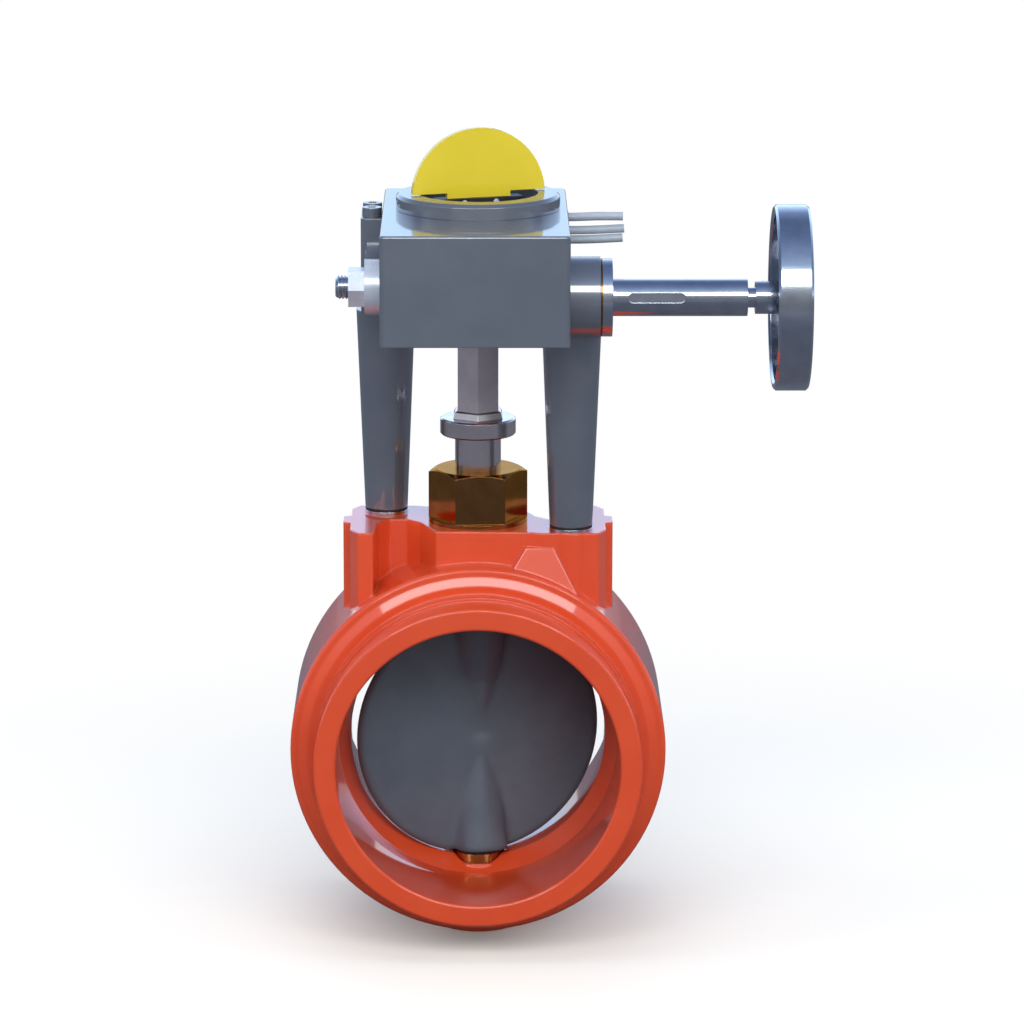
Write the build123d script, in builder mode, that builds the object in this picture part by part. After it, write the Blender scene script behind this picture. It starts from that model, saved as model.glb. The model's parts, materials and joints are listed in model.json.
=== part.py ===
from build123d import *
import math
import os

os.makedirs("parts", exist_ok=True)

# Gear-operated butterfly valve with grooved ends. The origin is the centre of the inlet end face,
# +Y runs along the bore to the outlet, +Z along the stem and +X towards the handwheel.

# Clearances
FIT = 0.05
RUNNING = 0.05
GAP = 0.3

# Grooved ends for nominal 150 mm pipe
PIPE_DIAMETER = 168.3
FACE_TO_FACE = 154.0
END_WALL = 11.15
LAND = 15.88
GROOVE_WIDTH = 9.53
GROOVE_DEPTH = 2.17
COLLAR = 7.0
EDGE_BREAK = 0.8

# Drum of the body, measured outwards from the pipe's surface
DRUM_HEIGHT = 13.05
STEP_HEIGHT = 4.35
BEVEL_DROP = 4.2
BEVEL = 2.5
DRUM_EDGE = 1.5

# Seat band and the flats where the stem enters the bore
SEAT_HEIGHT = 6.4
SEAT_WIDTH = 14.0
SEAT_RAMP = 12.0
SPOT_DEPTH = 2.7
SPOT_MARGIN = 1.6

# Mounting pad on top of the drum, the ramp at its front and the boss under the drum
PAD_HEIGHT = 16.5
PAD_LENGTH = 140.0
PAD_WIDTH = 65.0
PAD_END = 14.0
PAD_SHOULDER = 4.0
PAD_WING = 8.0
PAD_POCKET = 22.0
PAD_CORNER = 1.2
RAMP_DROP = 7.7
RAMP_TOP = (24.5, 39.0)
RAMP_FOOT = (18.0, 51.5)
RAMP_REACH = 8.0
POST_BOSS_R = 13.0
FOOT_BOSS_R = 22.0
FOOT_HEIGHT = 6.8

# Disc, with a hub that swells out of it towards each end of the stem
DISC_GAP = 0.4
DISC_CENTRE = 7.0
DISC_RIM = 4.0
HUB_SWELL = (6.4, 11.0, 17.5)
HUB_SKIRT = (12.0, 16.0, 19.5)
HUB_FOOT = (2.0, 3.2, 3.2)
HUB_TAIL = 0.12
REST_TURN = 18.0

# Stem, its bushes, packing and bonnet nut
STEM_R = 11.9
STEM_DRIVE_R = 9.0
STEM_SOCKET = 12.4
STEM_INSERT = 34.4
TONGUE = 13.0
TONGUE_LENGTH = 12.0
LOWER_STEM_R = 8.5
LOWER_STEM_INSERT = 32.4
THRUST_RING = 2.4
BUSH_FLANGE = 4.8
BUSH_LIP = 2.0
UPPER_BUSH_WALL = 2.6
LOWER_BUSH_WALL = 3.0
PLUG_LIP = 1.0
PLUG_LENGTH = 9.0
PLUG_SPACE = 1.0
PLUG_SOCKET = 10.0
GLAND_DEPTH = 21.7
PACKING_WIDTH = 5.6
PACKING_LENGTH = 9.0
NUT_R = 25.7
NUT_TURN = 3.0
NUT_HEIGHT = 27.8
NUT_CHAMFER = 4.0
NUT_FACE = 2.0
DISC_PIN_R = 2.5
DISC_PIN_INSET = 18.4
DISC_PIN_LENGTH = 27.0

# Collar and hexagonal extension
COLLAR_R = 19.6
COLLAR_RISE = 18.0
COLLAR_THICKNESS = 9.0
COLLAR_NECK = 4.0
NECK_LIP = 1.2
NECK_ANGLE = 15.0
EXTENSION_FLATS = 21.0
EXTENSION_ANGLE = 90.0
OUTPUT_NECK = 9.6
COUPLING_PIN_R = 1.5

# Posts between the pad and the gearbox
POST_X = 48.0
POST_Y = 21.0
POST_LENGTH = 105.3
POST_FOOT_R = 11.1
POST_HEAD_R = 15.3
WASHER = 1.3
WASHER_LIP = 0.3
POST_SEAL = 1.3
STUD_R = 5.0
STUD_DEPTH = 24.0

# Gearbox housing, its sides measured from the stem
BOX_LEFT = -49.0
BOX_RIGHT = 46.0
BOX_FRONT = -89.5
BOX_REAR = 66.0
BOX_HEIGHT = 56.1
WALL = 4.5
TOP_WALL = 6.5
PLATE = 3.5
BOX_EDGE = 2.5
CORNER_BOSS_R = 6.0
EAR_REACH = 11.5
EAR_WIDTH = 30.0
LEFT_EAR_HEIGHT = 49.4
RIGHT_EAR_HEIGHT = 25.4
LEFT_SCREW_SPACING = 15.0
RIGHT_SCREW_SPACING = 13.0
RIGHT_SCREW_SHIFT = 3.0
EAR_SCREW_R = 3.0
EAR_SCREW_DEPTH = 18.0
EAR_HEAD_R = 5.0
EAR_HEAD = 5.0
EAR_SOCKET = 5.0
PLATE_SCREW_R = 2.0
PLATE_SCREW_DEPTH = 12.0
PLATE_HEAD_R = 3.8
PLATE_HEAD = 2.5

# Worm and wheel, the angles and the numbers of teeth and turns
CENTRE_DISTANCE = 50.0
WORM_HEIGHT = 18.4
MODULE = 1.9
WHEEL_TEETH = 40
SECTOR_ANGLE = 120.0
SECTOR_MIDDLE_ANGLE = -117.0
WORM_SIDE_ANGLE = -90.0
PRESSURE_ANGLE = 20.0
WORM_TURNS = 6
FACE_WIDTH = 14.0
BACKLASH = 0.35
ROOT_CLEARANCE = 0.4
WHEEL_HUB_R = 19.0
WHEEL_HUB = 23.0
KEY = 5.0
KEY_LENGTH = 18.0
RING = 1.6
RING_LIP = 2.6

# Output shaft above the extension
OUTPUT_STEP = 0.1
UPPER_JOURNAL_R = 8.0
OUTPUT_BUSH = 7.9
OUTPUT_BUSH_WALL = 3.6
TOP_BUSH_WALL = 3.0

# Input shaft with its bushes and retainer
INNER_JOURNAL_R = 6.0
JOURNAL_STEP = 1.0
INNER_BUSH_WALL = 2.0
INNER_BUSH_LENGTH = 13.0
INNER_BOSS_WALL = 5.0
INNER_BOSS_LENGTH = 16.5
BOSS_R = 20.7
BOSS_LENGTH = 15.6
BOSS_WALL = 6.5
BOSS_INSIDE = 11.5
BOSS_INSIDE_WALL = 2.8
GASKET = 1.0
RETAINER = 5.1
RETAINER_INSET = 1.0
RETAINER_SCREW_R = 1.5
RETAINER_SCREW_DEPTH = 8.0
RETAINER_HEAD_R = 2.4
RETAINER_SCREWS = 3
SHAFT_R = 9.4
SHAFT_REACH = 68.2
NECK_R = 5.1
NECK = 4.0
KEYWAY_INSET = 8.0
KEYWAY_LENGTH = 28.8
KEYWAY_WIDTH = 5.0
KEYWAY_DEPTH = 2.5
KEYWAY_ANGLE = 8.0
WORM_PIN_R = 1.5

# Handwheel
HANDWHEEL_R = 47.0
RIM_WIDTH = 17.4
RIM_WALL = 4.0
RIM_OFFSET = 9.2
RIM_EDGE = 1.2
HANDWHEEL_HUB_WALL = 3.2
HANDWHEEL_HUB = 23.0
SPOKES = 5
SPOKE_WIDTH = 8.0
SPOKE = 6.0
HANDWHEEL_PIN_R = 1.5

# Travel stop on the left wall
STOP_Y = -20.0
STOP_FLANGE_R = 14.4
STOP_FLANGE = 8.9
STOP_NUT_R = 10.8
STOP_NUT = 8.3
STOP_SCREW_R = 6.2
STOP_STICKOUT = 6.6

# Position indicator
BEZEL_R = 42.2
BEZEL_BORE_R = 31.0
BEZEL = 8.0
BEZEL_EDGE = 1.6
SPIGOT_WALL = 3.0
SPIGOT = 2.0
CARRIER = 3.0
RIDGE_LENGTH = 46.0
RIDGE_WIDTH = 9.0
RIDGE = 4.5
FLAG_R = 35.6
FLAG_HEIGHT = 33.1
FLAG_SPACE = 0.5
FLAG = 3.2
FLAG_TAB = 34.0
CARRIER_SCREW_R = 1.5

# Tamper switch and its leads, their places and bends given from the switch
SWITCH_Y = 27.0
SWITCH_INSET = 3.5
SWITCH_LENGTH = 24.0
SWITCH_WIDTH = 20.0
SWITCH_HEIGHT = 17.2
SWITCH_SCREW_R = 1.5
SWITCH_SCREW_DEPTH = 3.5
SWITCH_HEAD_R = 2.6
SWITCH_HEAD = 1.6
LEAD_R = 2.25
LEAD_HEIGHTS = (14.5, 7.6, 2.7)
LEAD_BENDS = (
    ((12.4, 0.0, 0.0), (25.0, -0.3, 0.7), (37.2, -0.9, 0.6)),
    ((12.5, 0.0, 0.0), (25.4, 0.3, 0.3), (37.9, 0.2, 1.0)),
    ((12.3, 0.0, 0.0), (24.9, -0.4, 0.4), (37.1, -0.3, 1.1)),
)
ARC_SHARE = 0.45
GROMMET_LIP = 0.8
GROMMET_WIDTH = 9.0

# Worked out from the sizes above: radii
PIPE_R = PIPE_DIAMETER / 2
BORE_R = PIPE_R - END_WALL
GROOVE_R = PIPE_R - GROOVE_DEPTH
DRUM_R = PIPE_R + DRUM_HEIGHT
STEP_R = PIPE_R + STEP_HEIGHT
BEVEL_R = DRUM_R - BEVEL_DROP
SEAT_R = BORE_R - SEAT_HEIGHT
DISC_R = SEAT_R - DISC_GAP
UPPER_SLEEVE_R = STEM_R + UPPER_BUSH_WALL
UPPER_FLANGE_R = UPPER_SLEEVE_R + BUSH_LIP
LOWER_SLEEVE_R = LOWER_STEM_R + LOWER_BUSH_WALL
LOWER_FLANGE_R = LOWER_SLEEVE_R + BUSH_LIP
PLUG_R = LOWER_SLEEVE_R + PLUG_LIP
GLAND_R = STEM_R + PACKING_WIDTH
WASHER_R = POST_FOOT_R + WASHER_LIP
OUTPUT_R = EXTENSION_FLATS / 2 - OUTPUT_STEP
OUTPUT_BUSH_R = OUTPUT_R + OUTPUT_BUSH_WALL
TOP_BUSH_R = UPPER_JOURNAL_R + TOP_BUSH_WALL
RING_R = OUTPUT_R + RING_LIP
INNER_BUSH_R = INNER_JOURNAL_R + INNER_BUSH_WALL
INNER_BOSS_R = INNER_BUSH_R + INNER_BOSS_WALL
WORM_SEAT_R = INNER_JOURNAL_R + JOURNAL_STEP
OUTER_JOURNAL_R = WORM_SEAT_R + JOURNAL_STEP
BOSS_BORE_R = BOSS_R - BOSS_WALL
BOSS_INSIDE_R = BOSS_BORE_R + BOSS_INSIDE_WALL
RETAINER_R = BOSS_R - RETAINER_INSET
RETAINER_SCREW_CIRCLE_R = (BOSS_BORE_R + RETAINER_R) / 2
HANDWHEEL_HUB_R = NECK_R + HANDWHEEL_HUB_WALL
SPIGOT_R = BEZEL_BORE_R + SPIGOT_WALL

# Worked out from the sizes above: gearing
LEAD = math.pi * MODULE
WHEEL_PITCH_R = MODULE * WHEEL_TEETH / 2
WORM_PITCH_R = CENTRE_DISTANCE - WHEEL_PITCH_R
LEAD_ANGLE = math.degrees(math.atan(LEAD / (2 * math.pi * WORM_PITCH_R)))

# Worked out from the sizes above: heights over the bore's axis
SPOT_LEVEL = SEAT_R + SPOT_DEPTH
FLANGE_FACE = SPOT_LEVEL - BUSH_FLANGE
THRUST_FACE = FLANGE_FACE - THRUST_RING
HUB_END = THRUST_FACE - GAP
STEM_SHOULDER = HUB_END - STEM_SOCKET
STEM_END = HUB_END - STEM_INSERT
LOWER_STEM_TOP = HUB_END - LOWER_STEM_INSERT
DISC_PIN_LEVEL = HUB_END - DISC_PIN_INSET
PAD_TOP = DRUM_R + PAD_HEIGHT
PAD_ROOT = math.sqrt(DRUM_R**2 - PAD_LENGTH**2 / 4) - PAD_SHOULDER
FOOT_LEVEL = DRUM_R + FOOT_HEIGHT
LOWER_STEM_END = FOOT_LEVEL - PLUG_LENGTH - PLUG_SPACE
UPPER_SLEEVE_END = PAD_TOP - GLAND_DEPTH
GLAND = GLAND_DEPTH - PACKING_LENGTH
NUT_TOP = PAD_TOP + NUT_HEIGHT
COLLAR_BOTTOM = NUT_TOP + COLLAR_RISE
STEM_TOP = COLLAR_BOTTOM + COLLAR_THICKNESS / 2
COLLAR_TOP = COLLAR_BOTTOM + COLLAR_THICKNESS
NECK_TOP = COLLAR_TOP + COLLAR_NECK
FOOT_Z = PAD_TOP + WASHER + POST_SEAL
BOX_BOTTOM = FOOT_Z + POST_LENGTH
BOX_TOP = BOX_BOTTOM + BOX_HEIGHT
HOLLOW_TOP = BOX_TOP - TOP_WALL
PLATE_TOP = BOX_BOTTOM + PLATE
LEFT_EAR_TOP = BOX_BOTTOM + LEFT_EAR_HEIGHT
RIGHT_EAR_TOP = BOX_BOTTOM + RIGHT_EAR_HEIGHT
EXTENSION_TOP = BOX_BOTTOM - OUTPUT_NECK
WORM_LEVEL = BOX_BOTTOM + WORM_HEIGHT
OUTPUT_BUSH_TOP = BOX_BOTTOM + OUTPUT_BUSH
WHEEL_HUB_BOTTOM = OUTPUT_BUSH_TOP + GAP
WHEEL_HUB_TOP = WHEEL_HUB_BOTTOM + WHEEL_HUB
FLAG_BASE = BOX_TOP + BEZEL + FLAG_SPACE
FLAG_TOP = FLAG_BASE + FLAG_HEIGHT
SWITCH_BOTTOM = HOLLOW_TOP - SWITCH_HEIGHT
LEAD_LEVELS = [SWITCH_BOTTOM + height for height in LEAD_HEIGHTS]

# Worked out from the sizes above: places along the bore and towards the handwheel
STEM_Y = FACE_TO_FACE / 2
WORM_Y = STEM_Y - CENTRE_DISTANCE
WORM_LEFT = BOX_LEFT + WALL + INNER_BOSS_LENGTH + GAP
WORM_RIGHT = BOX_RIGHT - WALL - BOSS_INSIDE - GAP
BOSS_END = BOX_RIGHT + BOSS_LENGTH
GASKET_END = BOSS_END + GASKET
RETAINER_END = GASKET_END + RETAINER
KEYWAY_START = RETAINER_END + KEYWAY_INSET
SHAFT_END = RETAINER_END + SHAFT_REACH
HANDWHEEL_START = SHAFT_END + NECK
HANDWHEEL_END = HANDWHEEL_START + HANDWHEEL_HUB
SWITCH_RIGHT = BOX_RIGHT - WALL - SWITCH_INSET
SWITCH_LEFT = SWITCH_RIGHT - SWITCH_LENGTH
POSTS = ((-POST_X, STEM_Y + POST_Y), (POST_X, STEM_Y - POST_Y))
STEM_AXIS = Axis((0, STEM_Y, 0), (0, 0, 1))


def level(z, turn=0.0, x=0.0, y=STEM_Y):
    """Horizontal plane at height z, on the stem axis unless another place is given."""
    angle = math.radians(turn)
    return Plane(origin=(x, y, z), x_dir=(math.cos(angle), math.sin(angle), 0), z_dir=(0, 0, 1))


def upright(turn=0.0):
    """Vertical plane through the stem axis: its x runs across the bore and its y upwards."""
    angle = math.radians(turn)
    across_bore = (math.cos(angle), math.sin(angle), 0)
    return Plane(origin=(0, STEM_Y, 0), x_dir=across_bore, z_dir=(math.sin(angle), -math.cos(angle), 0))


def facing_x(x, y=WORM_Y, z=WORM_LEVEL):
    """Plane that faces +X: its x runs along the bore and its y upwards."""
    return Plane(origin=(x, y, z), x_dir=(0, 1, 0), z_dir=(1, 0, 0))


def write(piece, name):
    """Label a finished piece and write its STEP file."""
    piece.part.label = name
    export_step(piece.part, f"parts/{name}.step")


def tube(name, plane, outer, inner, length):
    """A plain ring or sleeve that stands on a plane."""
    with BuildPart() as sleeve:
        with BuildSketch(plane):
            Circle(outer)
            Circle(inner, mode=Mode.SUBTRACT)
        extrude(amount=length)
    write(sleeve, name)


def body_outline():
    """Radius and distance from the end face, from the inlet to the middle of the body."""
    shoulder = LAND + GROOVE_WIDTH + COLLAR
    return [
        (0, 0),
        (PIPE_R - EDGE_BREAK, 0),
        (PIPE_R, EDGE_BREAK),
        (PIPE_R, LAND),
        (GROOVE_R, LAND),
        (GROOVE_R, LAND + GROOVE_WIDTH),
        (PIPE_R, LAND + GROOVE_WIDTH),
        (PIPE_R, shoulder),
        (STEP_R, shoulder),
        (BEVEL_R, shoulder + BEVEL),
        (DRUM_R - DRUM_EDGE, shoulder + BEVEL),
        (DRUM_R, shoulder + BEVEL + DRUM_EDGE),
    ]


def bore_outline():
    """Radius and distance from the end face, from the inlet to the middle of the seat band."""
    seat_start = (FACE_TO_FACE - SEAT_WIDTH) / 2
    return [
        (0, 0),
        (BORE_R + EDGE_BREAK, 0),
        (BORE_R, EDGE_BREAK),
        (BORE_R, seat_start - SEAT_RAMP),
        (SEAT_R, seat_start),
    ]


def mirrored(outline):
    """An outline of one half of the body with its other half added."""
    return outline + [(radius, FACE_TO_FACE - along) for radius, along in reversed(outline)]


def pad_outline():
    """Corners of the pad around the stem, the front half and then the same turned by half a turn."""
    end = PAD_LENGTH / 2
    side = PAD_WIDTH / 2
    shoulder = end - PAD_SHOULDER
    wing = shoulder - PAD_SHOULDER
    front = [
        (-end, -PAD_END / 2),
        (-shoulder, -PAD_END / 2 - PAD_SHOULDER / 2),
        (-shoulder, -side + PAD_WING),
        (-wing, -side),
        (-wing + PAD_WING, -side),
        (-wing + PAD_WING + PAD_SHOULDER / 2, -PAD_END / 2),
        (-POST_X + PAD_SHOULDER / 2, 0),
        (-POST_X + PAD_POCKET / 2, 0),
        (-POST_X + PAD_POCKET - PAD_SHOULDER, -PAD_END / 2),
        (-NUT_R + PAD_SHOULDER, -side + PAD_SHOULDER),
        (NUT_R, -side + PAD_SHOULDER / 2),
        (NUT_R + PAD_WING, -side),
        (wing, -side),
        (shoulder, -side + PAD_WING),
        (shoulder, -PAD_END / 2 - PAD_SHOULDER / 2),
        (end, -PAD_END / 2),
    ]
    return front + [(-x, -y) for x, y in front]


def pad_ramp():
    """Drafted ramp between the pad's front wall and the front edge of the drum."""
    edge = LAND + GROOVE_WIDTH + COLLAR + BEVEL + DRUM_EDGE
    top = PAD_TOP - RAMP_DROP
    left, right = [math.sqrt(DRUM_R**2 - x**2) for x in RAMP_FOOT]
    buried = right - PAD_SHOULDER
    with BuildPart() as ramp:
        with BuildSketch(Plane.YZ):
            with BuildLine():
                Polyline(
                    (edge + RAMP_REACH, top),
                    (edge, right),
                    (edge, buried),
                    (STEM_Y, buried),
                    (STEM_Y, top),
                    close=True,
                )
            make_face()
        extrude(amount=RAMP_FOOT[1])
        with BuildSketch(Plane.XZ):
            with BuildLine():
                Polyline(
                    (RAMP_TOP[0], top),
                    (RAMP_TOP[1], top),
                    (RAMP_FOOT[1], right),
                    (RAMP_FOOT[1], buried),
                    (RAMP_FOOT[0], buried),
                    (RAMP_FOOT[0], left),
                    close=True,
                )
            make_face()
        extrude(amount=-FACE_TO_FACE, mode=Mode.INTERSECT)
    return ramp.part


def build_valve_body():
    upper_spot_r = UPPER_FLANGE_R + GAP
    lower_spot_r = LOWER_FLANGE_R + GAP
    with BuildPart() as valve_body:
        with BuildSketch(Plane.XY):
            with BuildLine():
                Polyline(mirrored(body_outline()), close=True)
            make_face()
        revolve(axis=Axis.Y)
        with BuildSketch(level(PAD_ROOT)):
            with BuildLine():
                Polyline(pad_outline(), close=True)
            make_face()
            fillet(vertices(), radius=PAD_CORNER)
            with Locations((-POST_X, POST_Y), (POST_X, -POST_Y)):
                Circle(POST_BOSS_R)
        extrude(amount=PAD_TOP - PAD_ROOT)
        for turn in (0, 180):
            add(pad_ramp().rotate(STEM_AXIS, turn))
        with BuildSketch(level(-FOOT_LEVEL)):
            Circle(FOOT_BOSS_R)
        extrude(amount=FOOT_LEVEL - SPOT_LEVEL)
        with BuildSketch(Plane.XY):
            with BuildLine():
                Polyline(mirrored(bore_outline()), close=True)
            make_face()
        revolve(axis=Axis.Y, mode=Mode.SUBTRACT)
        for side, spot_r in ((1, upper_spot_r), (-1, lower_spot_r)):
            with BuildSketch(level(side * SPOT_LEVEL)):
                Circle(spot_r + SPOT_MARGIN)
            extrude(amount=side * (BORE_R - SPOT_LEVEL + SPOT_MARGIN))
            with BuildSketch(level(side * SPOT_LEVEL)):
                Circle(spot_r)
            extrude(amount=-side * SPOT_LEVEL / 2, mode=Mode.SUBTRACT)
        with BuildSketch(level(SPOT_LEVEL)):
            Circle(UPPER_SLEEVE_R + FIT)
        extrude(amount=PAD_TOP - SPOT_LEVEL, mode=Mode.SUBTRACT)
        with BuildSketch(level(UPPER_SLEEVE_END)):
            Circle(GLAND_R)
        extrude(amount=PAD_TOP - UPPER_SLEEVE_END, mode=Mode.SUBTRACT)
        with BuildSketch(level(-FOOT_LEVEL)):
            Circle(LOWER_SLEEVE_R + FIT)
        extrude(amount=FOOT_LEVEL - SPOT_LEVEL, mode=Mode.SUBTRACT)
        with BuildSketch(level(-FOOT_LEVEL)):
            Circle(PLUG_R + FIT)
        extrude(amount=PLUG_LENGTH, mode=Mode.SUBTRACT)
        with BuildSketch(level(PAD_TOP - STUD_DEPTH)):
            with Locations((-POST_X, POST_Y), (POST_X, -POST_Y)):
                Circle(STUD_R + FIT)
        extrude(amount=STUD_DEPTH, mode=Mode.SUBTRACT)
    write(valve_body, "valve_body")


def build_stem_bushes():
    """The flanged bushes that carry the stem, with a thrust ring between each and the disc."""
    sleeves = (
        ("upper_stem_bush", 1, UPPER_FLANGE_R, UPPER_SLEEVE_R, STEM_R, UPPER_SLEEVE_END - SPOT_LEVEL),
        ("lower_stem_bush", -1, LOWER_FLANGE_R, LOWER_SLEEVE_R, LOWER_STEM_R,
         FOOT_LEVEL - PLUG_LENGTH - SPOT_LEVEL - GAP),
    )
    for name, side, flange_r, sleeve_r, journal_r, length in sleeves:
        with BuildPart() as bush:
            with BuildSketch(level(side * FLANGE_FACE)):
                Circle(flange_r)
            extrude(amount=side * BUSH_FLANGE)
            with BuildSketch(level(side * SPOT_LEVEL)):
                Circle(sleeve_r)
            extrude(amount=side * length)
            with BuildSketch(level(side * FLANGE_FACE)):
                Circle(journal_r + RUNNING)
            extrude(amount=side * (BUSH_FLANGE + length), mode=Mode.SUBTRACT)
        write(bush, name)
    ring = FLANGE_FACE - THRUST_FACE
    tube("upper_thrust_ring", level(THRUST_FACE), UPPER_FLANGE_R, STEM_R + RUNNING, ring)
    tube("lower_thrust_ring", level(-FLANGE_FACE), LOWER_FLANGE_R, LOWER_STEM_R + RUNNING, ring)


def build_lower_plug():
    with BuildPart() as lower_plug:
        with BuildSketch(level(-FOOT_LEVEL)):
            Circle(PLUG_R)
        extrude(amount=PLUG_LENGTH)
        with BuildSketch(level(-FOOT_LEVEL)):
            RegularPolygon(PLUG_SOCKET / 2, 6)
        extrude(amount=PLUG_LENGTH / 2, mode=Mode.SUBTRACT)
    write(lower_plug, "lower_plug")


def build_bonnet_nut():
    with BuildPart() as bonnet_nut:
        with BuildSketch(level(PAD_TOP + NUT_FACE, NUT_TURN)):
            RegularPolygon(NUT_R, 6)
        extrude(amount=NUT_TOP - PAD_TOP - NUT_FACE)
        with BuildSketch(upright()):
            with BuildLine():
                Polyline(
                    (0, PAD_TOP),
                    (NUT_R, PAD_TOP),
                    (NUT_R, NUT_TOP - NUT_CHAMFER / 2),
                    (NUT_R - NUT_CHAMFER, NUT_TOP),
                    (0, NUT_TOP),
                    close=True,
                )
            make_face()
        revolve(axis=STEM_AXIS, mode=Mode.INTERSECT)
        with BuildSketch(level(PAD_TOP)):
            Circle(NUT_R)
        extrude(amount=NUT_FACE)
        with BuildSketch(level(PAD_TOP)):
            Circle(GLAND_R - FIT)
        extrude(amount=-GLAND + GAP)
        with BuildSketch(level(PAD_TOP - GLAND)):
            Circle(STEM_R + RUNNING)
        extrude(amount=NUT_TOP - PAD_TOP + GLAND, mode=Mode.SUBTRACT)
    write(bonnet_nut, "bonnet_nut")


def build_disc():
    turned = level(0, REST_TURN)
    rim_round = DISC_RIM / 2
    hub_levels = (DISC_CENTRE, HUB_END / 2, HUB_END)
    with BuildPart() as disc:
        with BuildSketch(turned):
            with BuildLine():
                Line((0, -DISC_CENTRE), (0, DISC_CENTRE))
                TangentArc((0, DISC_CENTRE), (DISC_R - rim_round, DISC_RIM), tangent=(1, 0))
                ThreePointArc((DISC_R - rim_round, DISC_RIM), (DISC_R, 0), (DISC_R - rim_round, -DISC_RIM))
                TangentArc((0, -DISC_CENTRE), (DISC_R - rim_round, -DISC_RIM), tangent=(1, 0))
            make_face()
        revolve(axis=Axis((0, STEM_Y, 0), turned.y_dir))
        for side, flange_r in ((1, UPPER_FLANGE_R), (-1, LOWER_FLANGE_R)):
            with BuildSketch(level(side * HUB_END)):
                Circle(flange_r + SPOT_MARGIN)
            extrude(amount=side * (DISC_R - HUB_END + SPOT_MARGIN), mode=Mode.SUBTRACT)
        for side in (1, -1):
            for height, swell, skirt, foot in zip(hub_levels, HUB_SWELL, HUB_SKIRT, HUB_FOOT):
                shoulder = swell * math.sqrt(0.5)
                crown = [(-skirt, foot), (-shoulder, shoulder), (0, swell), (shoulder, shoulder), (skirt, foot)]
                with BuildSketch(level(side * height, REST_TURN)):
                    with BuildLine():
                        Spline(*crown, tangents=((1, HUB_TAIL), (1, -HUB_TAIL)))
                        Line((skirt, foot), (skirt, -foot))
                        Spline(*[(x, -y) for x, y in crown], tangents=((1, -HUB_TAIL), (1, HUB_TAIL)))
                        Line((-skirt, -foot), (-skirt, foot))
                    make_face()
            loft()
        with BuildSketch(level(STEM_END)):
            Circle(STEM_DRIVE_R + FIT)
        extrude(amount=HUB_END - STEM_END, mode=Mode.SUBTRACT)
        with BuildSketch(level(STEM_SHOULDER)):
            Circle(STEM_R + FIT)
        extrude(amount=HUB_END - STEM_SHOULDER, mode=Mode.SUBTRACT)
        with BuildSketch(level(-HUB_END)):
            Circle(LOWER_STEM_R + FIT)
        extrude(amount=HUB_END - LOWER_STEM_TOP, mode=Mode.SUBTRACT)
        with BuildSketch(disc_pin_plane()):
            with Locations((0, DISC_PIN_LEVEL), (0, -DISC_PIN_LEVEL)):
                Circle(DISC_PIN_R + FIT)
        extrude(amount=DISC_PIN_LENGTH / 2, both=True, mode=Mode.SUBTRACT)
    write(disc, "disc")


def disc_pin_plane():
    """Plane across the disc's cross pins, which lie in the disc's own plane."""
    turned = level(0, REST_TURN)
    return Plane(origin=turned.origin, x_dir=turned.y_dir, z_dir=turned.x_dir)


def build_disc_pins():
    with BuildPart() as disc_pins:
        with BuildSketch(disc_pin_plane()):
            with Locations((0, DISC_PIN_LEVEL), (0, -DISC_PIN_LEVEL)):
                Circle(DISC_PIN_R)
        extrude(amount=DISC_PIN_LENGTH / 2 - FIT, both=True)
    write(disc_pins, "disc_pins")


def build_stem():
    with BuildPart() as stem:
        with BuildSketch(level(STEM_END)):
            Circle(STEM_DRIVE_R)
        extrude(amount=STEM_SHOULDER - STEM_END)
        with BuildSketch(level(STEM_SHOULDER)):
            Circle(STEM_R)
        extrude(amount=STEM_TOP - STEM_SHOULDER)
        with BuildSketch(level(STEM_TOP, REST_TURN)):
            Rectangle(TONGUE, TONGUE)
        extrude(amount=TONGUE_LENGTH)
        with BuildSketch(disc_pin_plane()):
            with Locations((0, DISC_PIN_LEVEL)):
                Circle(DISC_PIN_R + FIT)
        extrude(amount=DISC_PIN_LENGTH / 2, both=True, mode=Mode.SUBTRACT)
        with BuildSketch(coupling_pin_plane()):
            Circle(COUPLING_PIN_R + FIT)
        extrude(amount=COLLAR_R, both=True, mode=Mode.SUBTRACT)
    write(stem, "stem")


def build_lower_stem():
    with BuildPart() as lower_stem:
        with BuildSketch(level(-LOWER_STEM_END)):
            Circle(LOWER_STEM_R)
        extrude(amount=LOWER_STEM_END - LOWER_STEM_TOP)
        with BuildSketch(disc_pin_plane()):
            with Locations((0, -DISC_PIN_LEVEL)):
                Circle(DISC_PIN_R + FIT)
        extrude(amount=DISC_PIN_LENGTH / 2, both=True, mode=Mode.SUBTRACT)
    write(lower_stem, "lower_stem")


def coupling_pin_plane():
    """Plane across the pin that holds collar, extension and stem together, just below the collar top."""
    turned = level(0, REST_TURN)
    height = COLLAR_TOP - 1.5 * COUPLING_PIN_R
    return Plane(origin=(0, STEM_Y, height), x_dir=turned.x_dir, z_dir=turned.y_dir)


def build_coupling_pin():
    with BuildPart() as coupling_pin:
        with BuildSketch(coupling_pin_plane()):
            Circle(COUPLING_PIN_R)
        extrude(amount=COLLAR_R - GAP)
        with BuildSketch(coupling_pin_plane()):
            Circle(COUPLING_PIN_R)
        extrude(amount=-EXTENSION_FLATS / 2)
    write(coupling_pin, "coupling_pin")


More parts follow.
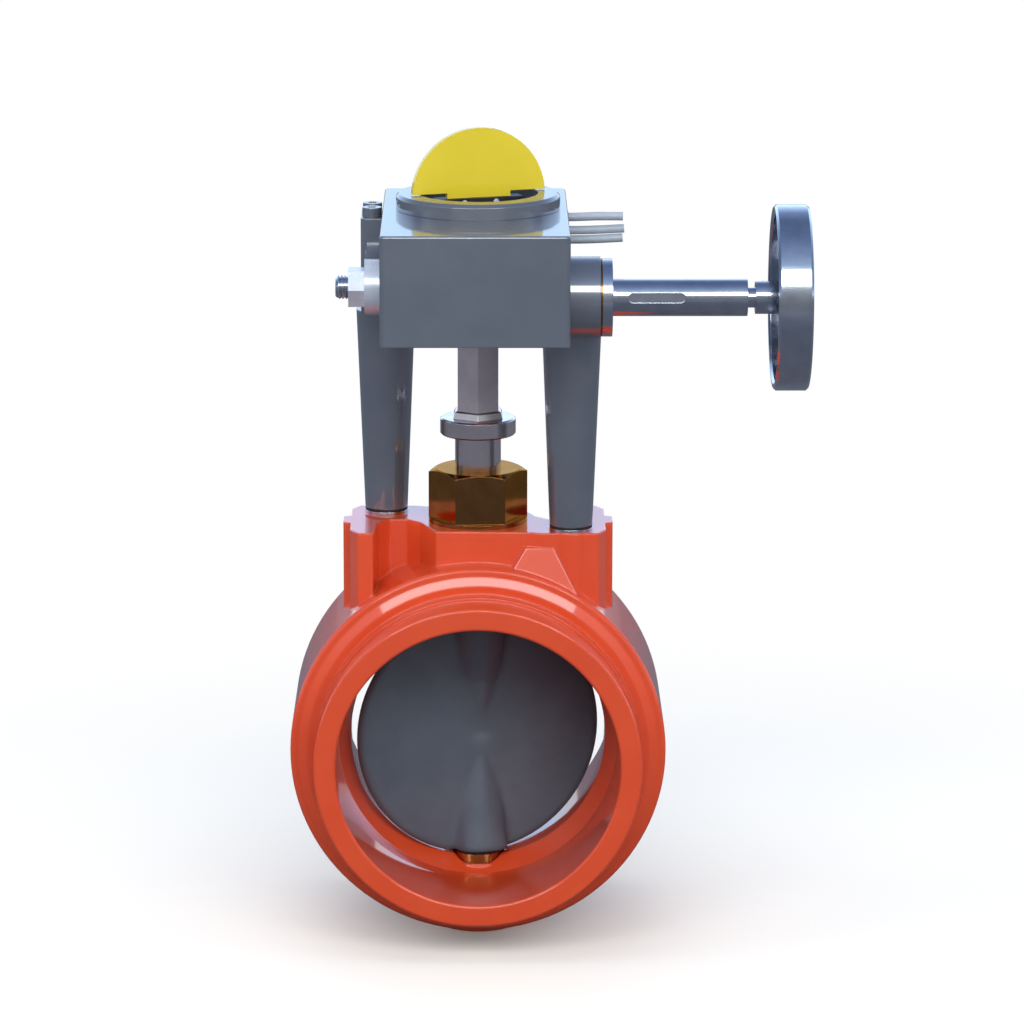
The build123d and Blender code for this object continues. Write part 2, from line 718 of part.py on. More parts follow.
def build_stem_collar():
    neck_flats = EXTENSION_FLATS + 2 * NECK_LIP
    foot_flats = neck_flats + 2 * COLLAR_NECK * math.tan(math.radians(NECK_ANGLE))
    with BuildPart() as stem_collar:
        with BuildSketch(level(COLLAR_BOTTOM)):
            Circle(COLLAR_R)
        extrude(amount=COLLAR_THICKNESS)
        chamfer(stem_collar.edges().filter_by(GeomType.CIRCLE), length=EDGE_BREAK)
        with BuildSketch(level(COLLAR_TOP)):
            RegularPolygon(foot_flats / 2, 6, major_radius=False, rotation=EXTENSION_ANGLE)
        extrude(amount=COLLAR_NECK, taper=NECK_ANGLE)
        chamfer(stem_collar.faces().sort_by(Axis.Z)[-1].edges(), length=EDGE_BREAK)
        with BuildSketch(level(COLLAR_BOTTOM)):
            Circle(STEM_R + FIT)
        extrude(amount=STEM_TOP - COLLAR_BOTTOM, mode=Mode.SUBTRACT)
        with BuildSketch(level(STEM_TOP)):
            RegularPolygon(EXTENSION_FLATS / 2 + FIT, 6, major_radius=False, rotation=EXTENSION_ANGLE)
        extrude(amount=NECK_TOP - STEM_TOP, mode=Mode.SUBTRACT)
        with BuildSketch(coupling_pin_plane()):
            Circle(COUPLING_PIN_R + FIT)
        extrude(amount=COLLAR_R, mode=Mode.SUBTRACT)
    write(stem_collar, "stem_collar")


def build_stem_extension():
    journal_bottom = WHEEL_HUB_TOP + RING + GAP
    with BuildPart() as stem_extension:
        with BuildSketch(level(STEM_TOP)):
            RegularPolygon(EXTENSION_FLATS / 2, 6, major_radius=False, rotation=EXTENSION_ANGLE)
        extrude(amount=EXTENSION_TOP - STEM_TOP)
        with BuildSketch(level(EXTENSION_TOP)):
            Circle(OUTPUT_R)
        extrude(amount=journal_bottom - EXTENSION_TOP)
        with BuildSketch(level(journal_bottom)):
            Circle(UPPER_JOURNAL_R)
        extrude(amount=BOX_TOP - SPIGOT + GAP + CARRIER - journal_bottom)
        with BuildSketch(level(STEM_TOP, REST_TURN)):
            Rectangle(TONGUE + 2 * FIT, TONGUE + 2 * FIT)
        extrude(amount=TONGUE_LENGTH + GAP, mode=Mode.SUBTRACT)
        with BuildSketch(coupling_pin_plane()):
            Circle(COUPLING_PIN_R + FIT)
        extrude(amount=EXTENSION_FLATS, both=True, mode=Mode.SUBTRACT)
        with BuildSketch(level(WHEEL_HUB_TOP)):
            Circle(OUTPUT_R)
            Circle(OUTPUT_R - RING, mode=Mode.SUBTRACT)
        extrude(amount=RING + FIT, mode=Mode.SUBTRACT)
        with BuildSketch(key_plane()):
            Rectangle(KEY + 2 * FIT, KEY + 2 * FIT)
        extrude(amount=KEY_LENGTH + FIT, mode=Mode.SUBTRACT)
    write(stem_extension, "stem_extension")


def key_plane():
    """Plane at the foot of the drive key, centred on the shaft's surface."""
    turned = level(0, REST_TURN)
    place = turned.origin + turned.x_dir * OUTPUT_R
    middle = (WHEEL_HUB_BOTTOM + WHEEL_HUB_TOP - KEY_LENGTH) / 2
    return level(middle, REST_TURN, place.X, place.Y)


def build_drive_key():
    with BuildPart() as drive_key:
        with BuildSketch(key_plane()):
            Rectangle(KEY, KEY)
        extrude(amount=KEY_LENGTH)
    write(drive_key, "drive_key")


def tooth_gap_plane(angle):
    """Plane across one gap between two wheel teeth: x along the pitch circle, y towards the stem."""
    turn = math.radians(angle)
    lean = math.radians(LEAD_ANGLE)
    radial = Vector(math.cos(turn), math.sin(turn), 0)
    tangent = Vector(-math.sin(turn), math.cos(turn), 0)
    upward = Vector(0, 0, 1)
    centre = Vector(0, STEM_Y, WORM_LEVEL) + radial * WHEEL_PITCH_R
    return Plane(
        origin=centre,
        x_dir=tangent * math.cos(lean) + upward * math.sin(lean),
        z_dir=upward * math.cos(lean) - tangent * math.sin(lean),
    )


def build_worm_wheel():
    tip_r = WHEEL_PITCH_R + MODULE
    root_depth = MODULE + ROOT_CLEARANCE
    slope = math.tan(math.radians(PRESSURE_ANGLE))
    half_gap = LEAD / 4 + BACKLASH / 2
    pitch_angle = 360 / WHEEL_TEETH
    sector_start = SECTOR_MIDDLE_ANGLE - SECTOR_ANGLE / 2
    first_gap = math.ceil((sector_start - WORM_SIDE_ANGLE) / pitch_angle + 0.5)
    last_gap = math.floor((sector_start + SECTOR_ANGLE - WORM_SIDE_ANGLE) / pitch_angle - 0.5)
    with BuildPart() as worm_wheel:
        with BuildSketch(level(WORM_LEVEL - FACE_WIDTH / 2)):
            with BuildLine():
                rim = CenterArc((0, 0), tip_r, sector_start, SECTOR_ANGLE)
                Line(rim @ 1, (0, 0))
                Line((0, 0), rim @ 0)
            make_face()
        extrude(amount=FACE_WIDTH)
        with BuildSketch(level(WHEEL_HUB_BOTTOM)):
            Circle(WHEEL_HUB_R)
        extrude(amount=WHEEL_HUB_TOP - WHEEL_HUB_BOTTOM)
        for number in range(first_gap, last_gap + 1):
            with BuildSketch(tooth_gap_plane(WORM_SIDE_ANGLE + number * pitch_angle)):
                with BuildLine():
                    Polyline(
                        (-half_gap + root_depth * slope, root_depth),
                        (half_gap - root_depth * slope, root_depth),
                        (half_gap + 2 * MODULE * slope, -2 * MODULE),
                        (-half_gap - 2 * MODULE * slope, -2 * MODULE),
                        close=True,
                    )
                make_face()
            extrude(amount=FACE_WIDTH, both=True, mode=Mode.SUBTRACT)
        with BuildSketch(level(WHEEL_HUB_BOTTOM)):
            Circle(OUTPUT_R + FIT)
        extrude(amount=WHEEL_HUB_TOP - WHEEL_HUB_BOTTOM, mode=Mode.SUBTRACT)
        with BuildSketch(key_plane()):
            Rectangle(KEY + 2 * FIT, KEY + 2 * FIT)
        extrude(amount=WHEEL_HUB_TOP - WHEEL_HUB_BOTTOM, both=True, mode=Mode.SUBTRACT)
    write(worm_wheel, "worm_wheel")


def build_worm():
    tip_r = WORM_PITCH_R + MODULE
    root_r = WORM_PITCH_R - MODULE - ROOT_CLEARANCE
    slope = math.tan(math.radians(PRESSURE_ANGLE))
    half_thread = LEAD / 4 - BACKLASH / 2
    start = -WORM_TURNS * LEAD / 2 - LEAD / 4
    with BuildPart() as worm:
        with BuildSketch(facing_x(WORM_LEFT)):
            Circle(root_r)
        extrude(amount=WORM_RIGHT - WORM_LEFT)
        with BuildLine() as thread_path:
            Helix(
                LEAD,
                WORM_TURNS * LEAD,
                WORM_PITCH_R,
                center=(start, WORM_Y, WORM_LEVEL),
                direction=(1, 0, 0),
                lefthand=True,
            )
        thread = thread_path.line
        with BuildSketch(Plane(origin=thread @ 0, x_dir=(0, 0, 1), z_dir=thread % 0)):
            with BuildLine():
                inner = -MODULE - ROOT_CLEARANCE * 2
                Polyline(
                    (inner, -half_thread + inner * slope),
                    (inner, half_thread - inner * slope),
                    (MODULE, half_thread - MODULE * slope),
                    (MODULE, -half_thread + MODULE * slope),
                    close=True,
                )
            make_face()
        sweep(path=thread, is_frenet=True)
        with BuildSketch(facing_x(WORM_LEFT)):
            Circle(WORM_SEAT_R + FIT)
        extrude(amount=WORM_RIGHT - WORM_LEFT, mode=Mode.SUBTRACT)
        with BuildSketch(*worm_pin_planes()):
            Circle(WORM_PIN_R + FIT)
        extrude(amount=tip_r, both=True, mode=Mode.SUBTRACT)
    write(worm, "worm")


def worm_pin_planes():
    """Horizontal planes through the worm axis, one at each plain end of the worm."""
    inset = 2 * WORM_PIN_R
    places = (WORM_LEFT + inset, WORM_RIGHT - inset)
    return [level(WORM_LEVEL, x=place, y=WORM_Y) for place in places]


def build_worm_pins():
    root_r = WORM_PITCH_R - MODULE - ROOT_CLEARANCE
    with BuildPart() as worm_pins:
        with BuildSketch(*worm_pin_planes()):
            Circle(WORM_PIN_R)
        extrude(amount=root_r - FIT, both=True)
    write(worm_pins, "worm_pins")


def build_input_shaft():
    inner_end = BOX_LEFT + WALL + GAP
    steps = (
        (inner_end + WALL, WORM_LEFT, INNER_JOURNAL_R),
        (WORM_LEFT, WORM_RIGHT, WORM_SEAT_R),
        (WORM_RIGHT, RETAINER_END + GAP, OUTER_JOURNAL_R),
        (RETAINER_END + GAP, SHAFT_END, SHAFT_R),
        (SHAFT_END, HANDWHEEL_END - EDGE_BREAK, NECK_R),
    )
    keyway_plane = Plane(
        origin=(0, WORM_Y, WORM_LEVEL),
        x_dir=(1, 0, 0),
        z_dir=(0, -math.cos(math.radians(KEYWAY_ANGLE)), math.sin(math.radians(KEYWAY_ANGLE))),
    )
    with BuildPart() as input_shaft:
        for start, end, radius in steps:
            with BuildSketch(facing_x(start)):
                Circle(radius)
            extrude(amount=end - start)
        with BuildSketch(keyway_plane.offset(SHAFT_R - KEYWAY_DEPTH)):
            with Locations((KEYWAY_START + KEYWAY_LENGTH / 2, 0)):
                SlotOverall(KEYWAY_LENGTH, KEYWAY_WIDTH)
        extrude(amount=SHAFT_R, mode=Mode.SUBTRACT)
        with BuildSketch(*worm_pin_planes()):
            Circle(WORM_PIN_R + FIT)
        extrude(amount=SHAFT_R, both=True, mode=Mode.SUBTRACT)
        with BuildSketch(wheel_pin_plane()):
            Circle(HANDWHEEL_PIN_R + FIT)
        extrude(amount=HANDWHEEL_HUB_R, both=True, mode=Mode.SUBTRACT)
    write(input_shaft, "input_shaft")


def wheel_pin_plane():
    """Horizontal plane through the input shaft, at the pin of the handwheel's hub."""
    return level(WORM_LEVEL, x=HANDWHEEL_START + RIM_OFFSET / 2, y=WORM_Y)


def build_handwheel():
    rim_start = HANDWHEEL_START + RIM_OFFSET
    spoke_start = HANDWHEEL_END - SPOKE - GAP
    with BuildPart() as handwheel:
        with BuildSketch(facing_x(rim_start)):
            Circle(HANDWHEEL_R)
            Circle(HANDWHEEL_R - RIM_WALL, mode=Mode.SUBTRACT)
        extrude(amount=RIM_WIDTH)
        chamfer(handwheel.edges().filter_by(GeomType.CIRCLE), length=RIM_EDGE)
        with BuildSketch(facing_x(spoke_start)):
            with PolarLocations(0, SPOKES, start_angle=90):
                with Locations(((HANDWHEEL_R - RIM_WALL / 2) / 2, 0)):
                    Rectangle(HANDWHEEL_R - RIM_WALL / 2, SPOKE_WIDTH)
        extrude(amount=SPOKE)
        with BuildSketch(facing_x(HANDWHEEL_START)):
            Circle(HANDWHEEL_HUB_R)
        extrude(amount=HANDWHEEL_HUB)
        with BuildSketch(facing_x(HANDWHEEL_START)):
            Circle(NECK_R + FIT)
        extrude(amount=HANDWHEEL_HUB, mode=Mode.SUBTRACT)
        with BuildSketch(wheel_pin_plane()):
            Circle(HANDWHEEL_PIN_R + FIT)
        extrude(amount=HANDWHEEL_HUB_R, both=True, mode=Mode.SUBTRACT)
    write(handwheel, "handwheel")


def build_handwheel_pin():
    with BuildPart() as handwheel_pin:
        with BuildSketch(wheel_pin_plane()):
            Circle(HANDWHEEL_PIN_R)
        extrude(amount=HANDWHEEL_HUB_R - GAP, both=True)
    write(handwheel_pin, "handwheel_pin")


def ear_screw_places():
    """Places of the two screws through each ear, the left ear's first."""
    outer = EAR_REACH / 2
    left_y = STEM_Y + POST_Y
    right_y = STEM_Y - POST_Y + RIGHT_SCREW_SHIFT
    left = [(BOX_LEFT - outer, left_y + side * LEFT_SCREW_SPACING / 2) for side in (-1, 1)]
    right = [(BOX_RIGHT + outer, right_y + side * RIGHT_SCREW_SPACING / 2) for side in (-1, 1)]
    return left, right


def build_posts():
    ear_screws = ear_screw_places()
    for name, (x, y), screws in zip(("post_left", "post_right"), POSTS, ear_screws):
        with BuildPart() as post:
            with BuildSketch(level(FOOT_Z, x=x, y=y)):
                Circle(POST_FOOT_R)
            with BuildSketch(level(BOX_BOTTOM, x=x, y=y)):
                Circle(POST_HEAD_R)
            loft()
            with BuildSketch(level(FOOT_Z, x=x, y=y)):
                Circle(STUD_R + FIT)
            extrude(amount=STUD_DEPTH, mode=Mode.SUBTRACT)
            for screw_x, screw_y in screws:
                with BuildSketch(level(BOX_BOTTOM, x=screw_x, y=screw_y)):
                    Circle(EAR_SCREW_R + FIT)
                extrude(amount=-EAR_SCREW_DEPTH, mode=Mode.SUBTRACT)
        write(post, name)


def build_post_fixings():
    """Stud, washer and seal under each post."""
    layers = (
        ("post_studs", PAD_TOP - STUD_DEPTH + FIT, FOOT_Z + STUD_DEPTH - FIT, STUD_R, 0),
        ("post_washers", PAD_TOP, PAD_TOP + WASHER, WASHER_R, STUD_R + FIT),
        ("post_seals", PAD_TOP + WASHER, FOOT_Z, POST_FOOT_R, STUD_R + FIT),
    )
    for name, bottom, top, outer, inner in layers:
        with BuildPart() as fixing:
            with BuildSketch(*[level(bottom, x=x, y=y) for x, y in POSTS]):
                Circle(outer)
                if inner:
                    Circle(inner, mode=Mode.SUBTRACT)
            extrude(amount=top - bottom)
        write(fixing, name)


def build_ear_screws():
    sides = zip(("ear_screws_left", "ear_screws_right"), ear_screw_places(), (LEFT_EAR_TOP, RIGHT_EAR_TOP))
    for name, places, seat in sides:
        with BuildPart() as screws:
            for x, y in places:
                with BuildSketch(level(seat, x=x, y=y)):
                    Circle(EAR_HEAD_R)
                extrude(amount=EAR_HEAD)
                with BuildSketch(level(seat, x=x, y=y)):
                    Circle(EAR_SCREW_R)
                extrude(amount=-(seat - BOX_BOTTOM + EAR_SCREW_DEPTH - FIT))
                with BuildSketch(level(seat + EAR_HEAD, x=x, y=y)):
                    RegularPolygon(EAR_SOCKET / 2, 6)
                extrude(amount=-EAR_HEAD / 2, mode=Mode.SUBTRACT)
        write(screws, name)


def box_rectangle(inset):
    """Centre, length across and length along the bore of the housing, drawn in by an inset."""
    centre = ((BOX_LEFT + BOX_RIGHT) / 2, (BOX_FRONT + BOX_REAR) / 2)
    return centre, BOX_RIGHT - BOX_LEFT - 2 * inset, BOX_REAR - BOX_FRONT - 2 * inset


def corner_places():
    """Places of the base plate screws, around the stem."""
    centre, across, along = box_rectangle(WALL + PLATE_HEAD_R + EDGE_BREAK)
    return [
        (centre[0] + side * across / 2, centre[1] + end * along / 2)
        for side in (-1, 1)
        for end in (-1, 1)
    ]


def build_gearbox_housing():
    centre, across, along = box_rectangle(0)
    ear_sides = (
        (BOX_LEFT, -1, STEM_Y + POST_Y, LEFT_EAR_TOP),
        (BOX_RIGHT, 1, STEM_Y - POST_Y, RIGHT_EAR_TOP),
    )
    with BuildPart() as gearbox_housing:
        with BuildSketch(level(BOX_BOTTOM)):
            with Locations(centre):
                RectangleRounded(across, along, BOX_EDGE)
        extrude(amount=BOX_TOP - BOX_BOTTOM)
        fillet(gearbox_housing.faces().sort_by(Axis.Z)[-1].edges(), radius=BOX_EDGE / 2)
        for wall_x, side, ear_y, ear_top in ear_sides:
            with BuildSketch(level(BOX_BOTTOM, x=wall_x + side * (EAR_REACH - WALL) / 2, y=ear_y)):
                RectangleRounded(EAR_REACH + WALL, EAR_WIDTH, BOX_EDGE)
            extrude(amount=ear_top - BOX_BOTTOM)
        with BuildSketch(facing_x(BOX_RIGHT - WALL)):
            Circle(BOSS_R)
        extrude(amount=BOSS_END - BOX_RIGHT + WALL)
        centre, across, along = box_rectangle(WALL)
        with BuildSketch(level(BOX_BOTTOM)):
            with Locations(centre):
                RectangleRounded(across, along, BOX_EDGE)
        extrude(amount=HOLLOW_TOP - BOX_BOTTOM, mode=Mode.SUBTRACT)
        with BuildSketch(level(PLATE_TOP)):
            with Locations(*corner_places()):
                Circle(CORNER_BOSS_R)
        extrude(amount=HOLLOW_TOP - PLATE_TOP)
        with BuildSketch(facing_x(BOX_LEFT + WALL)):
            Circle(INNER_BOSS_R)
        extrude(amount=INNER_BOSS_LENGTH)
        with BuildSketch(facing_x(BOX_RIGHT - WALL)):
            Circle(BOSS_INSIDE_R)
        extrude(amount=-BOSS_INSIDE)
        with BuildSketch(level(BOX_BOTTOM)):
            with Locations(centre):
                RectangleRounded(across, along, BOX_EDGE)
        extrude(amount=PLATE, mode=Mode.SUBTRACT)
        with BuildSketch(facing_x(BOX_LEFT + WALL + INNER_BOSS_LENGTH)):
            Circle(INNER_BUSH_R + FIT)
        extrude(amount=-INNER_BUSH_LENGTH, mode=Mode.SUBTRACT)
        with BuildSketch(facing_x(BOX_RIGHT - WALL - BOSS_INSIDE)):
            Circle(BOSS_BORE_R)
        extrude(amount=BOSS_END - BOX_RIGHT + WALL + BOSS_INSIDE, mode=Mode.SUBTRACT)
        with BuildSketch(facing_x(BOSS_END)):
            with PolarLocations(RETAINER_SCREW_CIRCLE_R, RETAINER_SCREWS, start_angle=90):
                Circle(RETAINER_SCREW_R + FIT)
        extrude(amount=-RETAINER_SCREW_DEPTH, mode=Mode.SUBTRACT)
        with BuildSketch(level(BOX_TOP)):
            Circle(SPIGOT_R)
        extrude(amount=-SPIGOT, mode=Mode.SUBTRACT)
        with BuildSketch(level(BOX_TOP)):
            Circle(TOP_BUSH_R + FIT)
        extrude(amount=-TOP_WALL, mode=Mode.SUBTRACT)
        with BuildSketch(level(PLATE_TOP)):
            with Locations(*corner_places()):
                Circle(PLATE_SCREW_R + FIT)
        extrude(amount=PLATE_SCREW_DEPTH, mode=Mode.SUBTRACT)
        for places, seat in zip(ear_screw_places(), (LEFT_EAR_TOP, RIGHT_EAR_TOP)):
            for x, y in places:
                with BuildSketch(level(seat, x=x, y=y)):
                    Circle(EAR_SCREW_R + FIT)
                extrude(amount=BOX_BOTTOM - seat, mode=Mode.SUBTRACT)
        with BuildSketch(facing_x(BOX_LEFT, STEM_Y + STOP_Y, WORM_LEVEL)):
            Circle(STOP_SCREW_R + FIT)
        extrude(amount=WALL, mode=Mode.SUBTRACT)
        with BuildSketch(facing_x(BOX_RIGHT, STEM_Y + SWITCH_Y, grommet_level())):
            RectangleRounded(GROMMET_WIDTH + 2 * FIT, grommet_height() + 2 * FIT, EDGE_BREAK)
        extrude(amount=-WALL, mode=Mode.SUBTRACT)
        with BuildSketch(level(HOLLOW_TOP)):
            with Locations(*switch_screw_places()):
                Circle(SWITCH_SCREW_R + FIT)
        extrude(amount=SWITCH_SCREW_DEPTH, mode=Mode.SUBTRACT)
    write(gearbox_housing, "gearbox_housing")


def grommet_level():
    """Height of the middle of the grommet, halfway between the top and bottom leads."""
    return (LEAD_LEVELS[0] + LEAD_LEVELS[-1]) / 2


def grommet_height():
    return LEAD_LEVELS[0] - LEAD_LEVELS[-1] + 2 * LEAD_R + GROMMET_LIP


def switch_screw_places():
    """Places of the two switch screws, around the stem."""
    inset = 2 * SWITCH_HEAD_R
    return [(SWITCH_LEFT + inset, SWITCH_Y + inset), (SWITCH_RIGHT - inset, SWITCH_Y - inset)]


def build_base_plate():
    centre, across, along = box_rectangle(WALL + FIT)
    with BuildPart() as base_plate:
        with BuildSketch(level(BOX_BOTTOM)):
            with Locations(centre):
                RectangleRounded(across, along, BOX_EDGE)
            Circle(OUTPUT_BUSH_R + FIT, mode=Mode.SUBTRACT)
            with Locations(*corner_places()):
                Circle(PLATE_SCREW_R + FIT, mode=Mode.SUBTRACT)
        extrude(amount=PLATE)
        with BuildSketch(level(BOX_BOTTOM)):
            with Locations(*corner_places()):
                Circle(PLATE_HEAD_R + FIT)
        extrude(amount=PLATE_HEAD, mode=Mode.SUBTRACT)
    write(base_plate, "base_plate")


def build_base_plate_screws():
    with BuildPart() as base_plate_screws:
        with BuildSketch(level(BOX_BOTTOM)):
            with Locations(*corner_places()):
                Circle(PLATE_HEAD_R)
        extrude(amount=PLATE_HEAD)
        with BuildSketch(level(BOX_BOTTOM)):
            with Locations(*corner_places()):
                Circle(PLATE_SCREW_R)
        extrude(amount=PLATE + PLATE_SCREW_DEPTH - FIT)
        with BuildSketch(level(BOX_BOTTOM)):
            with Locations(*corner_places()):
                RegularPolygon(PLATE_SCREW_R, 6)
        extrude(amount=PLATE_HEAD / 2, mode=Mode.SUBTRACT)
    write(base_plate_screws, "base_plate_screws")


def build_shaft_retainer():
    for name, start, length in (
        ("retainer_gasket", BOSS_END, GASKET),
        ("shaft_retainer", GASKET_END, RETAINER),
    ):
        with BuildPart() as plate:
            with BuildSketch(facing_x(start)):
                Circle(RETAINER_R)
                Circle(OUTER_JOURNAL_R + RUNNING, mode=Mode.SUBTRACT)
                with PolarLocations(RETAINER_SCREW_CIRCLE_R, RETAINER_SCREWS, start_angle=90):
                    Circle(RETAINER_SCREW_R + FIT, mode=Mode.SUBTRACT)
            extrude(amount=length)
            if name == "shaft_retainer":
                with BuildSketch(facing_x(start + length)):
                    with PolarLocations(RETAINER_SCREW_CIRCLE_R, RETAINER_SCREWS, start_angle=90):
                        Circle(RETAINER_HEAD_R + FIT)
                extrude(amount=-length / 2, mode=Mode.SUBTRACT)
        write(plate, name)
    with BuildPart() as retainer_screws:
        with BuildSketch(facing_x(RETAINER_END - RETAINER / 2)):
            with PolarLocations(RETAINER_SCREW_CIRCLE_R, RETAINER_SCREWS, start_angle=90):
                Circle(RETAINER_HEAD_R)
        extrude(amount=RETAINER / 2)
        with BuildSketch(facing_x(RETAINER_END - RETAINER / 2)):
            with PolarLocations(RETAINER_SCREW_CIRCLE_R, RETAINER_SCREWS, start_angle=90):
                Circle(RETAINER_SCREW_R)
        extrude(amount=-RETAINER / 2 - GASKET - RETAINER_SCREW_DEPTH + FIT)
    write(retainer_screws, "retainer_screws")


def build_travel_stop():
    """Flanged seat, lock nut and screw of the travel stop in the left wall."""
    y = STEM_Y + STOP_Y
    nut_start = BOX_LEFT - STOP_FLANGE
    tube("stop_flange", facing_x(BOX_LEFT - STOP_FLANGE, y, WORM_LEVEL), STOP_FLANGE_R, STOP_SCREW_R + FIT,
         STOP_FLANGE)
    with BuildPart() as stop_nut:
        with BuildSketch(facing_x(nut_start, y, WORM_LEVEL)):
            RegularPolygon(STOP_NUT_R, 6)
            Circle(STOP_SCREW_R + FIT, mode=Mode.SUBTRACT)
        extrude(amount=-STOP_NUT)
    write(stop_nut, "stop_nut")
    with BuildPart() as stop_screw:
        with BuildSketch(facing_x(BOX_LEFT + WALL, y, WORM_LEVEL)):
            Circle(STOP_SCREW_R)
        extrude(amount=-(WALL + STOP_FLANGE + STOP_NUT + STOP_STICKOUT))
        chamfer(stop_screw.faces().sort_by(Axis.X)[0].edges(), length=EDGE_BREAK)
    write(stop_screw, "stop_screw")


def build_indicator():
    """Bezel on the housing, and the carrier, flag and screws that turn with the stem."""
    carrier_bottom = BOX_TOP - SPIGOT + GAP
    carrier_top = carrier_bottom + CARRIER
    ridge_top = carrier_top + RIDGE
    with BuildPart() as indicator_bezel:
        with BuildSketch(level(BOX_TOP)):
            Circle(BEZEL_R)
        extrude(amount=BEZEL)
        chamfer(indicator_bezel.faces().sort_by(Axis.Z)[-1].edges(), length=BEZEL_EDGE)
        with BuildSketch(level(BOX_TOP)):
            Circle(SPIGOT_R - FIT)
        extrude(amount=-SPIGOT)
        with BuildSketch(level(BOX_TOP - SPIGOT)):
            Circle(BEZEL_BORE_R)
        extrude(amount=SPIGOT + BEZEL, mode=Mode.SUBTRACT)
    write(indicator_bezel, "indicator_bezel")
    with BuildPart() as indicator_carrier:
        with BuildSketch(level(carrier_bottom)):
            Circle(BEZEL_BORE_R - 2 * GAP)
        extrude(amount=CARRIER)
        with BuildSketch(level(carrier_top, REST_TURN)):
            RectangleRounded(RIDGE_LENGTH, RIDGE_WIDTH, EDGE_BREAK)
        extrude(amount=RIDGE)
        with BuildSketch(level(carrier_bottom)):
            Circle(UPPER_JOURNAL_R + FIT)
        extrude(amount=CARRIER, mode=Mode.SUBTRACT)
        with BuildSketch(level(carrier_top, REST_TURN)):
            Rectangle(FLAG_TAB + 2 * FIT, FLAG + 2 * FIT)
        extrude(amount=RIDGE, mode=Mode.SUBTRACT)
        with BuildSketch(carrier_screw_plane()):
            with Locations(*carrier_screw_places()):
                Circle(CARRIER_SCREW_R + FIT)
        extrude(amount=RIDGE_WIDTH, both=True, mode=Mode.SUBTRACT)
    write(indicator_carrier, "indicator_carrier")
    with BuildPart() as indicator_flag:
        with BuildSketch(upright(REST_TURN)):
            with BuildLine():
                Polyline(
                    (FLAG_R, FLAG_BASE),
                    (FLAG_TAB / 2, FLAG_BASE),
                    (FLAG_TAB / 2, carrier_top),
                    (-FLAG_TAB / 2, carrier_top),
                    (-FLAG_TAB / 2, FLAG_BASE),
                    (-FLAG_R, FLAG_BASE),
                )
                ThreePointArc(
                    (-FLAG_R, FLAG_BASE),
                    (0, FLAG_TOP),
                    (FLAG_R, FLAG_BASE),
                )
            make_face()
        extrude(amount=FLAG / 2, both=True)
        with BuildSketch(carrier_screw_plane()):
            with Locations(*carrier_screw_places()):
                Circle(CARRIER_SCREW_R + FIT)
        extrude(amount=RIDGE_WIDTH, both=True, mode=Mode.SUBTRACT)
    write(indicator_flag, "indicator_flag")
    with BuildPart() as carrier_screws:
        with BuildSketch(carrier_screw_plane()):
            with Locations(*carrier_screw_places()):
                Circle(CARRIER_SCREW_R)
        extrude(amount=RIDGE_WIDTH / 2 - FIT, both=True)
    write(carrier_screws, "carrier_screws")


def carrier_screw_plane():
    """Upright plane of the flag, where the two screws cross it."""
    return upright(REST_TURN)


def carrier_screw_places():
    height = BOX_TOP - SPIGOT + GAP + CARRIER + RIDGE / 2
    return [(-FLAG_TAB / 4, height), (FLAG_TAB / 4, height)]


def build_tamper_switch():
    length = SWITCH_RIGHT - SWITCH_LEFT
    centre = ((SWITCH_LEFT + SWITCH_RIGHT) / 2, SWITCH_Y)
    with BuildPart() as tamper_switch:
        with BuildSketch(level(SWITCH_BOTTOM)):
            with Locations(centre):
                RectangleRounded(length, SWITCH_WIDTH, EDGE_BREAK)
            with Locations(*switch_screw_places()):
                Circle(SWITCH_SCREW_R + FIT, mode=Mode.SUBTRACT)
        extrude(amount=HOLLOW_TOP - SWITCH_BOTTOM)
        with BuildSketch(level(SWITCH_BOTTOM)):
            with Locations(*switch_screw_places()):
                Circle(SWITCH_HEAD_R + FIT)
        extrude(amount=SWITCH_HEAD, mode=Mode.SUBTRACT)
    write(tamper_switch, "tamper_switch")
    with BuildPart() as switch_screws:
        with BuildSketch(level(SWITCH_BOTTOM)):
            with Locations(*switch_screw_places()):
                Circle(SWITCH_HEAD_R)
        extrude(amount=SWITCH_HEAD)
        with BuildSketch(level(SWITCH_BOTTOM)):
            with Locations(*switch_screw_places()):
                Circle(SWITCH_SCREW_R)
        extrude(amount=HOLLOW_TOP - SWITCH_BOTTOM + SWITCH_SCREW_DEPTH - FIT)
    write(switch_screws, "switch_screws")
    with BuildPart() as lead_grommet:
        with BuildSketch(facing_x(BOX_RIGHT - WALL, STEM_Y + SWITCH_Y, grommet_level())):
            RectangleRounded(GROMMET_WIDTH, grommet_height(), EDGE_BREAK)
        extrude(amount=WALL + GROMMET_LIP)
        for lead_level in LEAD_LEVELS:
            with BuildSketch(facing_x(BOX_RIGHT - WALL, STEM_Y + SWITCH_Y, lead_level)):
                Circle(LEAD_R + FIT)
            extrude(amount=WALL + GROMMET_LIP, mode=Mode.SUBTRACT)
    write(lead_grommet, "lead_grommet")


def arc_radii(route):
    """Radius of the arc at each inner point of a route, as large as the runs beside it allow."""
    radii = []
    for before, corner, after in zip(route, route[1:], route[2:]):
        shorter = min((corner - before).length, (after - corner).length)
        half_turn = math.radians((corner - before).get_angle(after - corner) / 2)
        radii.append(ARC_SHARE * shorter / math.tan(half_turn))
    return radii


